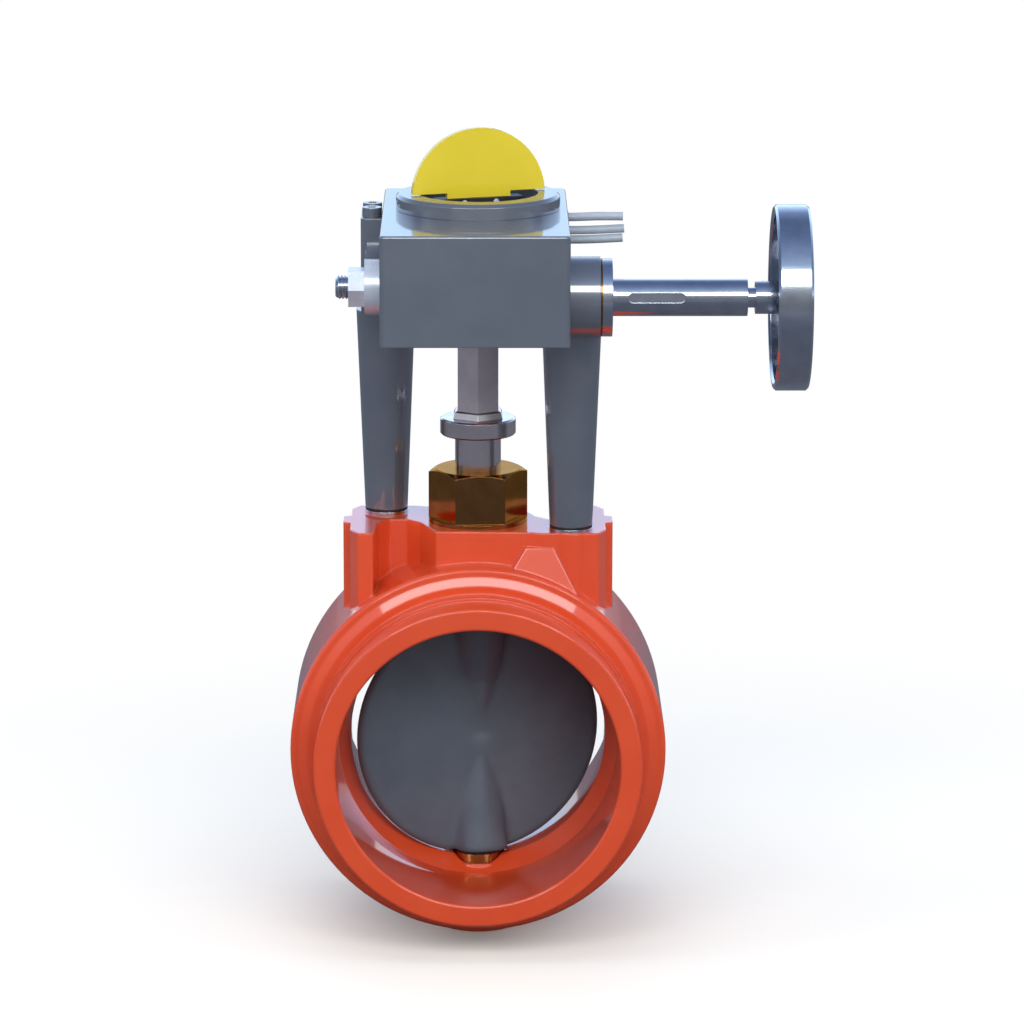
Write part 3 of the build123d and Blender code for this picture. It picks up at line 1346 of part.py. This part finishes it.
def build_switch_leads():
    """Leads that run from the switch through the grommet and end outside the housing."""
    for number, (lead_level, bends) in enumerate(zip(LEAD_LEVELS, LEAD_BENDS), start=1):
        start = Vector(SWITCH_RIGHT, STEM_Y + SWITCH_Y, lead_level)
        route = [start] + [start + Vector(*bend) for bend in bends]
        radii = arc_radii(route)
        print(f"switch_lead_{number} arc radii:", [round(radius, 1) for radius in radii])
        with BuildPart() as lead:
            with BuildLine() as path:
                FilletPolyline(*route, radius=radii)
            with BuildSketch(facing_x(start.X, start.Y, start.Z)):
                Circle(LEAD_R)
            sweep(path=path.line)
        write(lead, f"switch_lead_{number}")


build_valve_body()
build_stem_bushes()
build_lower_plug()
tube("stem_packing", level(UPPER_SLEEVE_END), GLAND_R - FIT, STEM_R + RUNNING, PACKING_LENGTH)
build_bonnet_nut()
build_disc()
build_disc_pins()
build_stem()
build_lower_stem()
build_stem_collar()
build_coupling_pin()
build_stem_extension()
build_drive_key()
build_worm_wheel()
tube("retaining_ring", level(WHEEL_HUB_TOP), RING_R, OUTPUT_R - RING + FIT, RING)
build_posts()
build_post_fixings()
build_ear_screws()
build_gearbox_housing()
build_base_plate()
build_base_plate_screws()
tube("output_bush", level(BOX_BOTTOM), OUTPUT_BUSH_R, OUTPUT_R + RUNNING, OUTPUT_BUSH_TOP - BOX_BOTTOM)
tube("top_bush", level(HOLLOW_TOP), TOP_BUSH_R, UPPER_JOURNAL_R + RUNNING, TOP_WALL - SPIGOT)
build_worm()
build_worm_pins()
build_input_shaft()
tube("worm_bush_inner", facing_x(WORM_LEFT - GAP - INNER_BUSH_LENGTH), INNER_BUSH_R,
     INNER_JOURNAL_R + RUNNING, INNER_BUSH_LENGTH)
tube("worm_bush_outer", facing_x(WORM_RIGHT + GAP), BOSS_BORE_R - FIT, OUTER_JOURNAL_R + RUNNING,
     BOSS_END - WORM_RIGHT - GAP)
build_shaft_retainer()
build_handwheel()
build_handwheel_pin()
build_travel_stop()
build_indicator()
build_tamper_switch()
build_switch_leads()
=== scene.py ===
# %% [markdown]
# # Dressing a grooved-end butterfly valve
# The valve comes in as a finished CAD model: an orange cast body, a disc on a stem, two posts and a worm
# gearbox with a handwheel. The shapes and places are right already, so this lesson is about what CAD leaves
# out: how paint, bronze, ground steel and plastic answer the light, and the small things that a casting and
# its fasteners carry.

# %% Load the frame
import json
import math

import bmesh
import bpy
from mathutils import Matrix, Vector


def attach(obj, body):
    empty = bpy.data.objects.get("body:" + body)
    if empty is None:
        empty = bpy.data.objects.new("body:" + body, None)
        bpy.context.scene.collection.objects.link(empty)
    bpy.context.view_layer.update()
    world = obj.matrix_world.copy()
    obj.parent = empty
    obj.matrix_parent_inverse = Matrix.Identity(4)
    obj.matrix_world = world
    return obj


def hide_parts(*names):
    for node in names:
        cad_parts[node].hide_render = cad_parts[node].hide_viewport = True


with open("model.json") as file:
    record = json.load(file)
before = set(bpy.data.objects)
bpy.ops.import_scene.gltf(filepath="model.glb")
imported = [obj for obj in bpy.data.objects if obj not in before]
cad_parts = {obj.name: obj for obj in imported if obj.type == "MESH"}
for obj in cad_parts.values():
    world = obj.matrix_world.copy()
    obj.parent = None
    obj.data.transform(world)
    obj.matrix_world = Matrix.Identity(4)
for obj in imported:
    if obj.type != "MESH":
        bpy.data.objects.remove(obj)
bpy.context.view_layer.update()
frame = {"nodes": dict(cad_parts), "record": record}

# %% [markdown]
# ## The camera
# The photograph looks along the bore from a little above. A long lens far away keeps the grooved end nearly
# round. A camera could be aimed by a constraint with a target. Here it is placed from the stem axis, on which
# the picture is centred, and tilted by one plain angle, because that is easier to check against the picture.
# The lens is moved sideways by a small shift, since the valve stands left of the picture's middle.

# %% Camera at the photograph's place
MM = 0.001
STEM_Y = 77 * MM
CAMERA_DISTANCE = 2.400
CAMERA_HEIGHT = 0.6636
CAMERA_TILT = math.radians(12.817)
SENSOR = 36.0
FOCAL_PIXELS = 4725.7
PICTURE = 1024
VANISHING_COLUMN = 478

camera_data = bpy.data.cameras.new("photo_camera")
camera_data.sensor_width = SENSOR
camera_data.lens = FOCAL_PIXELS / PICTURE * SENSOR
camera_data.shift_x = (PICTURE / 2 - VANISHING_COLUMN) / PICTURE
camera = bpy.data.objects.new("photo_camera", camera_data)
camera.location = (0, STEM_Y - CAMERA_DISTANCE, CAMERA_HEIGHT)
camera.rotation_euler = (math.pi / 2 - CAMERA_TILT, 0, 0)
bpy.context.scene.collection.objects.link(camera)
bpy.context.scene.camera = camera
print("camera at", tuple(round(value, 3) for value in camera.location), "lens", round(camera_data.lens, 1))

# %% [markdown]
# ## Helpers for materials
# Colours are written as the hex values that a paint chart or a picture editor shows. Blender's sockets want
# linear light, so one function converts them. The nodes of a material could be wired by hand in the shader
# editor. Here one function adds a node with its settings, its socket values and its links, which keeps every
# material below short enough to read, and two more open a material and close it.

# %% Colour and node helpers
def linear(hex_colour):
    """An sRGB hex colour as linear red, green and blue with full alpha."""
    channels = []
    for start in (1, 3, 5):
        value = int(hex_colour[start:start + 2], 16) / 255
        channels.append(value / 12.92 if value <= 0.04045 else ((value + 0.055) / 1.055) ** 2.4)
    return (*channels, 1.0)


def add_node(tree, kind, values=None, links=None, **settings):
    """Add one node with its settings, its socket values and what feeds its sockets."""
    made = tree.nodes.new(kind)
    for name, value in settings.items():
        setattr(made, name, value)
    for socket, value in (values or {}).items():
        made.inputs[socket].default_value = value
    for socket, source in (links or {}).items():
        tree.links.new(source, made.inputs[socket])
    return made


def start_material(name):
    """A new material with an empty node tree, and object coordinates in metres."""
    material = bpy.data.materials.new(name)
    material.use_nodes = True
    tree = material.node_tree
    tree.nodes.clear()
    place = add_node(tree, "ShaderNodeTexCoord").outputs["Object"]
    return material, tree, place


def close_material(tree, surface):
    """Feed the finished surface to an output node."""
    add_node(tree, "ShaderNodeOutputMaterial", links={"Surface": surface})


print("mid grey in linear light", [round(value, 3) for value in linear("#808080")[:3]])

# %% [markdown]
# ## Rounded edges
# Real castings and turned parts have no knife edges: their corners are rounded, by a few tenths of a
# millimetre on turned steel, by a millimetre or two under thick paint, and by more on the moulded disc, and
# each one catches a bright line of light. The edges could be cut round on the mesh. The Bevel node was chosen
# instead, because it bends only the shading near an edge and leaves the CAD mesh alone.

# %% Edge rounding and surface relief
EDGE_SAMPLES = 6


def relief(tree, place, grain_mm, height_mm, edge_mm=0.4):
    """Shading normal with rounded edges and a fine relief of a given grain size."""
    edge = add_node(tree, "ShaderNodeBevel", {"Radius": edge_mm * MM}, samples=EDGE_SAMPLES)
    grain = add_node(
        tree, "ShaderNodeTexNoise",
        {"Scale": 1 / (grain_mm * MM), "Detail": 2.0, "Roughness": 0.5},
        {"Vector": place},
    )
    bump = add_node(
        tree, "ShaderNodeBump",
        {"Strength": 1.0, "Distance": height_mm * MM},
        {"Height": grain.outputs["Fac"], "Normal": edge.outputs["Normal"]},
    )
    return bump.outputs["Normal"]


print("edges are rounded with", EDGE_SAMPLES, "samples")

# %% [markdown]
# ## Colour that drifts
# No paint or metal has quite one colour: a coat is a little thicker here and there, and metal tarnishes in
# soft clouds. The drift could be painted by hand. A noise texture does it evenly on every side, with clouds
# of a size given in millimetres and two colours so close that the eye hardly notices them.

# %% Two close colours mixed by a soft noise
DARK_UNTIL = 0.35
LIGHT_FROM = 0.65


def mottled(tree, place, patch_mm, dark, light):
    """A colour that drifts between two values over patches of a given size."""
    patch = add_node(
        tree, "ShaderNodeTexNoise",
        {"Scale": 1 / (patch_mm * MM), "Detail": 3.0, "Roughness": 0.55},
        {"Vector": place},
    )
    ramp = add_node(tree, "ShaderNodeValToRGB", links={"Fac": patch.outputs["Fac"]})
    ramp.color_ramp.elements[0].position = DARK_UNTIL
    ramp.color_ramp.elements[0].color = linear(dark)
    ramp.color_ramp.elements[1].position = LIGHT_FROM
    ramp.color_ramp.elements[1].color = linear(light)
    return ramp.outputs["Color"]


print("colours drift between", DARK_UNTIL, "and", LIGHT_FROM, "of the noise")

# %% [markdown]
# ## Glossy paints and the acetal flag
# The body is ductile iron under a thick orange epoxy coat. The coat levels out into a glossy skin with a
# faint orange peel, about 2 mm from crest to crest. The gearbox and the posts have a blue-grey enamel with
# fine metal flakes. The flag is moulded acetal, which is dense and naturally glossy.
#
# One smooth surface could stand for each of them. A clear coat over a softer coloured base was chosen,
# because it gives the eye two things at once, a sharp mirror image and a soft colour below it. The base under
# the coat mirrors only weakly, since resin lies against resin there and not against air. Epoxy has an IOR of
# about 1.6 and acetal of about 1.5. The enamel's 2.4 is more than a resin has: it stands for flakes that lie
# close under the surface and mirror too, and so does its partly metallic base.

# %% A coloured base under a clear coat
PAINT_PATCH_MM = 35


def glossy_skin(name, dark, light, metallic, coat_roughness, peel_mm, peel_height_mm, coat_ior, edge_mm):
    """A coloured base under a clear glossy coat with a faint peel."""
    material, tree, place = start_material(name)
    normal = relief(tree, place, peel_mm, peel_height_mm, edge_mm)
    shader = add_node(
        tree, "ShaderNodeBsdfPrincipled",
        {
            "Metallic": metallic,
            "Roughness": 0.36,
            "Specular IOR Level": 0.25,
            "Coat Weight": 1.0,
            "Coat Roughness": coat_roughness,
            "Coat IOR": coat_ior,
        },
        {
            "Base Color": mottled(tree, place, PAINT_PATCH_MM, dark, light),
            "Normal": normal,
            "Coat Normal": normal,
        },
    )
    close_material(tree, shader.outputs["BSDF"])
    return material


print("the colour under a coat drifts over", PAINT_PATCH_MM, "mm")

# %% Orange epoxy, blue-grey enamel and yellow acetal
orange_epoxy = glossy_skin(
    "orange_epoxy_paint", "#D44822", "#D84D26", metallic=0.0, coat_roughness=0.05,
    peel_mm=2.2, peel_height_mm=0.004, coat_ior=1.6, edge_mm=1.6,
)
grey_enamel = glossy_skin(
    "blue_grey_flake_enamel", "#5E636C", "#656A73", metallic=0.35, coat_roughness=0.06,
    peel_mm=1.6, peel_height_mm=0.003, coat_ior=2.4, edge_mm=0.8,
)
flag_plastic = glossy_skin(
    "yellow_acetal", "#D5BE2A", "#DAC330", metallic=0.0, coat_roughness=0.03,
    peel_mm=0.8, peel_height_mm=0.001, coat_ior=1.5, edge_mm=0.4,
)
print("glossy", orange_epoxy.name, grey_enamel.name, flag_plastic.name)

# %% [markdown]
# ## Coated disc, rubber and satin plastics
# The disc is coated with a smooth dark nylon. It is duller than the body, with a satin sheen, a fine stipple
# of about 0.6 mm and broad soft edges, because a moulded coat rounds everything it covers. Rubber, the
# switch's plastic and the leads' PVC are satin too. Each could have a build of its own. They differ only in
# colour, roughness and grain, so one function serves them all, with the IOR of 1.5 that most plastics have.
# Rubber is the dullest of them, and the nylon of the disc keeps the brightest sheen.

# %% Satin finishes
SATIN_PATCH_MM = 18


def satin(name, dark, light, roughness, grain_mm, height_mm, edge_mm=0.4):
    """A coating, plastic or rubber with a satin sheen and a fine stipple."""
    material, tree, place = start_material(name)
    normal = relief(tree, place, grain_mm, height_mm, edge_mm)
    shader = add_node(
        tree, "ShaderNodeBsdfPrincipled",
        {"Roughness": roughness},
        {"Base Color": mottled(tree, place, SATIN_PATCH_MM, dark, light), "Normal": normal},
    )
    close_material(tree, shader.outputs["BSDF"])
    return material


disc_coating = satin(
    "nylon_disc_coating", "#4E5963", "#545F69", roughness=0.38, grain_mm=0.6, height_mm=0.004, edge_mm=5.0
)
black_rubber = satin(
    "black_nitrile_rubber", "#141416", "#1A1A1C", roughness=0.62, grain_mm=0.4, height_mm=0.010
)
black_plastic = satin(
    "black_glass_filled_nylon", "#18191B", "#202124", roughness=0.48, grain_mm=0.5, height_mm=0.008
)
lead_jacket = satin(
    "grey_pvc_jacket", "#9CA5AE", "#A6AFB8", roughness=0.42, grain_mm=0.7, height_mm=0.006
)
print("satin", disc_coating.name, black_rubber.name, black_plastic.name, lead_jacket.name)

# %% [markdown]
# ## Turned, ground and plated metal
# A lathe leaves fine rings round the axis, and a grinder leaves them finer still. The Anisotropic value could
# stretch every highlight instead, but then no single ring would show. So the rings come from a noise that is
# stretched along the surface: very tight along the axis, and some 80 mm long round it. Their real pitch is
# near 0.1 mm, too fine to show, so they are drawn at 0.35 mm.

# %% A metal with tool marks
METAL_EDGE = 0.4 * MM
RING_HEIGHT = 0.004 * MM
METAL_PATCH_MM = 9
SMOOTHEST = 0.75
ROUGHEST = 1.3


def machined(name, colour, shade, roughness, stretch, metallic=1.0, edge_tint="#FFFFFF"):
    """A metal with tool marks that run the way the stretch says."""
    material, tree, place = start_material(name)
    lines = add_node(tree, "ShaderNodeMapping", {"Scale": stretch}, {"Vector": place})
    cut = add_node(
        tree, "ShaderNodeTexNoise",
        {"Scale": 1.0, "Detail": 3.0, "Roughness": 0.6},
        {"Vector": lines.outputs["Vector"]},
    )
    edge = add_node(tree, "ShaderNodeBevel", {"Radius": METAL_EDGE}, samples=EDGE_SAMPLES)
    bump = add_node(
        tree, "ShaderNodeBump",
        {"Strength": 0.8, "Distance": RING_HEIGHT},
        {"Height": cut.outputs["Fac"], "Normal": edge.outputs["Normal"]},
    )
    gloss = add_node(
        tree, "ShaderNodeMapRange",
        {"To Min": roughness * SMOOTHEST, "To Max": roughness * ROUGHEST},
        {"Value": cut.outputs["Fac"]},
    )
    shader = add_node(
        tree, "ShaderNodeBsdfPrincipled",
        {"Metallic": metallic, "Specular Tint": linear(edge_tint)},
        {
            "Base Color": mottled(tree, place, METAL_PATCH_MM, shade, colour),
            "Roughness": gloss.outputs["Result"],
            "Normal": bump.outputs["Normal"],
        },
    )
    close_material(tree, shader.outputs["BSDF"])
    return material


print("tool marks are", RING_HEIGHT / MM, "mm high")

# %% [markdown]
# ## The five metals
# The input shaft and the handwheel are ground and mirror clearly, in a cool grey. The stem and its collar are
# polished stainless steel, a shade warmer. The square extension above them is only milled, a little oxidised
# and dull, so it is not quite all metal. Bronze goes brown as it ages, and its pale edge tint keeps the top
# of the nut tan where the sky glances off it. Zinc plating covers the marks of the tool with an even, whitish
# layer, in soft clouds about 17 mm wide. It scatters much of the light, so less than half of it is metal.
# Every metal keeps the default IOR.

# %% Steel, bronze and zinc
RING_PITCH = 0.35 * MM
RINGS_PER_METRE = 1 / RING_PITCH
STREAKS_PER_METRE = 12
CLOUDS_PER_METRE = 60
ALONG_X = (RINGS_PER_METRE, STREAKS_PER_METRE, STREAKS_PER_METRE)
ALONG_Z = (STREAKS_PER_METRE, STREAKS_PER_METRE, RINGS_PER_METRE)
EVEN_PLATING = (CLOUDS_PER_METRE, CLOUDS_PER_METRE, CLOUDS_PER_METRE)

ground_steel = machined("ground_shaft_steel", "#DADDE3", "#CDD1D8", roughness=0.13, stretch=ALONG_X)
stem_steel = machined(
    "milled_extension_steel", "#EEDFDF", "#E2D4D4", roughness=0.38, stretch=ALONG_Z, metallic=0.90
)
polished_stem = machined("polished_stem_steel", "#F4E4DE", "#E8D8D2", roughness=0.20, stretch=ALONG_Z)
bronze = machined(
    "dark_bronze", "#AE7642", "#9E6A3A", roughness=0.14, stretch=ALONG_Z, edge_tint="#EED2AC"
)
zinc_steel = machined(
    "zinc_plated_steel", "#E2E8F0", "#D8DEE8", roughness=0.28, stretch=EVEN_PLATING, metallic=0.4
)
print("metals", ground_steel.name, stem_steel.name, polished_stem.name, bronze.name, zinc_steel.name)

# %% [markdown]
# ## Giving each part its finish
# The record names a material slot for every CAD node. Each node could be given its finish by hand. One table
# turns slots into finishes instead, so a part never gets a finish by accident. Four nodes get another finish
# than the rest of their slot: the flange of the travel stop is plated like the nut on it, the stem and its
# collar are polished, and the washers under the posts are plain ground steel.

# %% Assign the finishes
finish_of = {
    "body_paint": orange_epoxy,
    "grey_casting": grey_enamel,
    "disc_coat": disc_coating,
    "bronze": bronze,
    "stem_steel": stem_steel,
    "shaft_steel": ground_steel,
    "zinc_steel": zinc_steel,
    "flag_yellow": flag_plastic,
    "black_rubber": black_rubber,
    "black_plastic": black_plastic,
    "lead_jacket": lead_jacket,
}
for entry in frame["record"]["subparts"]:
    mesh = frame["nodes"][entry["node"]].data
    mesh.materials.clear()
    mesh.materials.append(finish_of[entry["material_slot"]])
own_finish = {
    "stop_flange": zinc_steel,
    "stem": polished_stem,
    "stem_collar": polished_stem,
    "post_washers": ground_steel,
}
for node, finish in own_finish.items():
    frame["nodes"][node].data.materials[0] = finish

# %% [markdown]
# ## Leads of the switch
# Three PVC-covered leads come out of the grommet in the right wall and are cut off about 29 mm further on. A
# lead could be a swept mesh. Each one is a curve with a round bevel instead, because a curve keeps a cord
# even along its whole length. Its points repeat the route of the CAD tube: straight through the grommet and
# then a slight rise.

# %% Leads as curves
LEAD_DIAMETER = 4.5 * MM
LEAD_ROUNDNESS = 6
LEAD_START = Vector((38, 104, 254)) * MM
LEAD_HEIGHTS = (14.5, 7.6, 2.7)
LEAD_BENDS = (
    ((12.4, 0.0, 0.0), (25.0, -0.3, 0.7), (37.2, -0.9, 0.6)),
    ((12.5, 0.0, 0.0), (25.4, 0.3, 0.3), (37.9, 0.2, 1.0)),
    ((12.3, 0.0, 0.0), (24.9, -0.4, 0.4), (37.1, -0.3, 1.1)),
)


def switch_lead(number, height, bends):
    """One free lead: a smooth curve on the route of its CAD tube, which it replaces."""
    start = LEAD_START + Vector((0, 0, height)) * MM
    route = [start] + [start + Vector(bend) * MM for bend in bends]
    curve = bpy.data.curves.new(f"lead_{number}", "CURVE")
    curve.dimensions = "3D"
    curve.bevel_depth = LEAD_DIAMETER / 2
    curve.bevel_resolution = LEAD_ROUNDNESS
    curve.use_fill_caps = True
    spline = curve.splines.new("NURBS")
    spline.points.add(len(route) - 1)
    for point, place in zip(spline.points, route):
        point.co = (*place, 1)
    spline.order_u = 3
    spline.use_endpoint_u = True
    lead = bpy.data.objects.new(f"lead_{number}", curve)
    bpy.context.scene.collection.objects.link(lead)
    curve.materials.append(lead_jacket)
    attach(lead, "valve")
    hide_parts(f"switch_lead_{number}")
    length = (route[-1] - route[0]).length
    return length


for number, (height, bends) in enumerate(zip(LEAD_HEIGHTS, LEAD_BENDS), start=1):
    print("lead", number, "length", round(switch_lead(number, height, bends) / MM, 1), "mm")

# %% [markdown]
# ## Thread of the stop screw
# The travel stop is a screw of plain steel, 12.4 mm across, with a lock nut, and its end shows a few turns of
# thread. They have the pitch of an M12 screw, 1.75 mm. A bump map could draw them, but the crests break the
# outline of the screw end, so the thread is a mesh: ring after ring of points round the axis, each pushed out
# and in as the screw line climbs by one pitch a turn.

# %% Threaded stop screw
SCREW_R = 6.2 * MM
THREAD_PITCH = 1.75 * MM
THREAD_DEPTH = 0.9 * MM
SCREW_START = -72.8 * MM
SCREW_LENGTH = 28.3 * MM
SCREW_AXIS = Vector((0, 57, 240)) * MM
SCREW_CHAMFER = 1.6 * MM
POINTS_ROUND = 40
ROWS_PER_TURN = 8


def threaded_rod(name, length, radius, pitch, depth, chamfer):
    """A rod along +X with a screw thread, closed at both ends and chamfered at its start."""
    rows = int(length / pitch * ROWS_PER_TURN)
    mesh = bmesh.new()
    rings = []
    for row in range(rows + 1):
        x = length * row / rows
        ring = []
        for step in range(POINTS_ROUND):
            angle = 2 * math.pi * step / POINTS_ROUND
            phase = (x / pitch - step / POINTS_ROUND) % 1
            crest = 1 - abs(2 * phase - 1)
            reach = min(radius - depth * (1 - crest), radius - chamfer + x)
            ring.append(mesh.verts.new((x, reach * math.cos(angle), reach * math.sin(angle))))
        rings.append(ring)
    for low, high in zip(rings, rings[1:]):
        for step in range(POINTS_ROUND):
            after = (step + 1) % POINTS_ROUND
            mesh.faces.new((low[step], low[after], high[after], high[step]))
    mesh.faces.new(list(reversed(rings[0])))
    mesh.faces.new(rings[-1])
    bmesh.ops.recalc_face_normals(mesh, faces=mesh.faces)
    data = bpy.data.meshes.new(name)
    mesh.to_mesh(data)
    mesh.free()
    return data


stop_thread = bpy.data.objects.new(
    "stop_screw_thread",
    threaded_rod("stop_screw_thread", SCREW_LENGTH, SCREW_R, THREAD_PITCH, THREAD_DEPTH, SCREW_CHAMFER),
)
stop_thread.location = SCREW_AXIS + Vector((SCREW_START, 0, 0))
stop_thread.data.materials.append(ground_steel)
bpy.context.scene.collection.objects.link(stop_thread)
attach(stop_thread, "valve")
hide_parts("stop_screw")
print("stop screw", len(stop_thread.data.polygons), "faces, pitch", THREAD_PITCH / MM, "mm")

# %% [markdown]
# ## Floor
# The photograph is a studio picture on white: the floor keeps a soft shadow beside the valve and then goes
# on to plain white. One plain sheet could do that, but its far edge would draw a horizon. So the paper is lit
# near the valve, with a faint painted glow added that lightens its shadow, and further out it turns into an
# even white glow. The metal in the photograph shows something else: every lower half is an even dark grey. So
# a grey cloth lies right under the paper, and the paper is there for the camera only.

# %% White paper over a grey cloth
FLOOR_LEVEL = -104.5 * MM
CLOTH_DROP = 2 * MM
SHADOW_MIDDLE = (0.06, 0.10, 0.0)
FADE_START = 0.24
FADE_END = 0.62
# Strength of a faint painted glow on the paper near the valve, which lightens the shadow there.
PAPER_SHADOW_GLOW = 0.07
PAPER_GLOW = 1.0
PAPER_REACH = 40.0
CLOTH_REACH = 2.5


def plain_sheet(name, height, reach, material):
    """A wide square stage sheet at one height."""
    corners = [(x * reach, y * reach, height) for x, y in ((-1, -1), (1, -1), (1, 1), (-1, 1))]
    mesh = bpy.data.meshes.new(name)
    mesh.from_pydata(corners, [], [(0, 1, 2, 3)])
    mesh.materials.append(material)
    made = bpy.data.objects.new(name, mesh)
    bpy.context.scene.collection.objects.link(made)
    return made


def fading_paper():
    """Lit paper near the valve, with a faint painted glow that lightens its shadow; white glow far from it.
    """
    material, tree, place = start_material("studio_paper")
    lit = add_node(tree, "ShaderNodeBsdfDiffuse", {"Color": linear("#FCF5E6")})
    # The paper near the valve also glows faintly: painted light that lightens its shadow.
    shadow_glow = add_node(tree, "ShaderNodeEmission", {"Color": linear("#FFFFFF"), "Strength": PAPER_SHADOW_GLOW})
    near = add_node(tree, "ShaderNodeAddShader", links={0: lit.outputs["BSDF"], 1: shadow_glow.outputs["Emission"]})
    glow = add_node(tree, "ShaderNodeEmission", {"Color": linear("#FFFFFF"), "Strength": PAPER_GLOW})
    distance = add_node(
        tree, "ShaderNodeVectorMath", {1: SHADOW_MIDDLE}, {0: place}, operation="DISTANCE"
    ).outputs["Value"]
    fade = add_node(
        tree, "ShaderNodeMapRange", {"From Min": FADE_START, "From Max": FADE_END}, {"Value": distance},
        interpolation_type="SMOOTHSTEP",
    ).outputs["Result"]
    paper = add_node(
        tree, "ShaderNodeMixShader", links={0: fade, 1: near.outputs["Shader"], 2: glow.outputs["Emission"]}
    )
    close_material(tree, paper.outputs["Shader"])
    return material


def grey_cloth():
    """A dull grey cloth that scatters the light evenly."""
    material, tree, _ = start_material("grey_studio_cloth")
    shader = add_node(tree, "ShaderNodeBsdfDiffuse", {"Color": linear("#6A6C72"), "Roughness": 0.9})
    close_material(tree, shader.outputs["BSDF"])
    return material


paper_sheet = plain_sheet("studio_paper", FLOOR_LEVEL, PAPER_REACH, fading_paper())
paper_sheet.visible_glossy = False
paper_sheet.visible_diffuse = False
paper_sheet.visible_shadow = False
cloth_sheet = plain_sheet("studio_cloth", FLOOR_LEVEL - CLOTH_DROP, CLOTH_REACH, grey_cloth())
cloth_sheet.visible_camera = False
print("floor at", round(FLOOR_LEVEL / MM, 1), "mm")

# %% [markdown]
# ## Sky
# Shiny surfaces mirror the world. A picture of a studio could be wrapped round the scene. A sweep of a few
# colours round the X axis was chosen, because it is easy to read and to change. The colours were read off the
# round shaft in the photograph, where one line from bottom to top mirrors everything from the floor over the
# front and the zenith to the back. The front is dim near the horizon, the zenith is a dim lavender blue, and
# the back is nearly white at the horizon: flat tops seen at a low angle mirror that.

# %% World sweep from the front horizon over the zenith to the back horizon
HALF_TURN = 180
SKY = (
    (0, "#767B86", 1.0), (14, "#8E939A", 1.0), (30, "#C0D0E0", 1.0), (50, "#A9C2E6", 1.0),
    (64, "#8EA4C9", 1.0), (78, "#788BB2", 1.0), (93, "#687AA2", 1.0), (121, "#5F7297", 1.0),
    (140, "#869CC8", 1.0), (155, "#B4D2FA", 1.3), (163, "#B4D6FF", 1.8), (172, "#C4E0FF", 1.8),
    (180, "#FFFFFF", 1.0),
)
SKY_PEAK = 1.8

world = bpy.data.worlds.new("studio_sky")
bpy.context.scene.world = world
world.use_nodes = True
sky = world.node_tree
sky.nodes.clear()
direction = add_node(sky, "ShaderNodeTexCoord").outputs["Generated"]
parts = add_node(sky, "ShaderNodeSeparateXYZ", links={"Vector": direction})
front = add_node(sky, "ShaderNodeMath", {1: -1.0}, {0: parts.outputs["Y"]}, operation="MULTIPLY")
angle = add_node(
    sky, "ShaderNodeMath", links={0: parts.outputs["Z"], 1: front.outputs["Value"]}, operation="ARCTAN2"
)
share = add_node(sky, "ShaderNodeMath", {1: math.pi}, {0: angle.outputs["Value"]}, operation="DIVIDE")
sweep = add_node(sky, "ShaderNodeValToRGB", links={"Fac": share.outputs["Value"]})
stops = sweep.color_ramp.elements
for degrees, _, _ in SKY[1:-1]:
    stops.new(degrees / HALF_TURN)
for stop, (degrees, tint, level) in zip(stops, SKY):
    stop.position = degrees / HALF_TURN
    stop.color = (*[value * level / SKY_PEAK for value in linear(tint)[:3]], 1)
mirrored = add_node(sky, "ShaderNodeBackground", {"Strength": SKY_PEAK}, {"Color": sweep.outputs["Color"]})
plain_white = add_node(sky, "ShaderNodeBackground", {"Color": linear("#FFFFFF"), "Strength": 1.0})
seen = add_node(sky, "ShaderNodeLightPath").outputs["Is Camera Ray"]
both = add_node(
    sky, "ShaderNodeMixShader",
    links={0: seen, 1: mirrored.outputs["Background"], 2: plain_white.outputs["Background"]},
)
add_node(sky, "ShaderNodeOutputWorld", links={"Surface": both.outputs["Shader"]})
print("sky with", len(stops), "colours")

# %% [markdown]
# ## Lamps
# Five soft boxes do the rest. The key lamp is a wide strip above the camera, 25 to 42 degrees up: it is the
# white line along every round metal part. The four fill lamps, in front, at both sides and overhead, only
# soften the shadows. A brighter world could do that too, but it would wash out every mirrored tone. The fill
# lamps aren't mirrored, because the photograph shows no second highlight.

# %% Soft boxes
LAMP_TARGET = Vector((0, STEM_Y, 120 * MM))


def soft_box(name, place, width, height, radiance, mirrored):
    """A rectangular lamp of a given radiance, turned towards the valve, that the camera doesn't see."""
    data = bpy.data.lights.new(name, "AREA")
    data.shape = "RECTANGLE"
    data.size = width
    data.size_y = height
    data.energy = radiance * math.pi * width * height
    lamp = bpy.data.objects.new(name, data)
    lamp.location = place
    lamp.rotation_euler = (LAMP_TARGET - Vector(place)).to_track_quat("-Z", "Y").to_euler()
    lamp.visible_camera = False
    lamp.visible_glossy = mirrored
    bpy.context.scene.collection.objects.link(lamp)
    print(name, round(data.energy, 1), "W")


soft_box("key_strip", place=(0.0, -2.20, 1.75), width=3.5, height=0.85, radiance=5.4, mirrored=True)
soft_box("front_fill", place=(0.4, -2.6, 0.5), width=2.0, height=2.0, radiance=1.9, mirrored=False)
soft_box("left_fill", place=(-2.3, -0.4, 0.7), width=1.6, height=1.6, radiance=2.4, mirrored=False)
soft_box("right_fill", place=(2.3, -0.4, 0.7), width=1.6, height=1.6, radiance=2.4, mirrored=False)
soft_box("top_fill", place=(-0.2, 0.2, 2.3), width=2.0, height=2.0, radiance=1.3, mirrored=False)

# %% [markdown]
# ## View settings
# Blender can bend colours with a film-like view transform. Standard is used here, so that a hex value comes
# out as it was written.

# %% Settings of the view
bpy.context.scene.view_settings.view_transform = "Standard"
print("view transform", bpy.context.scene.view_settings.view_transform)
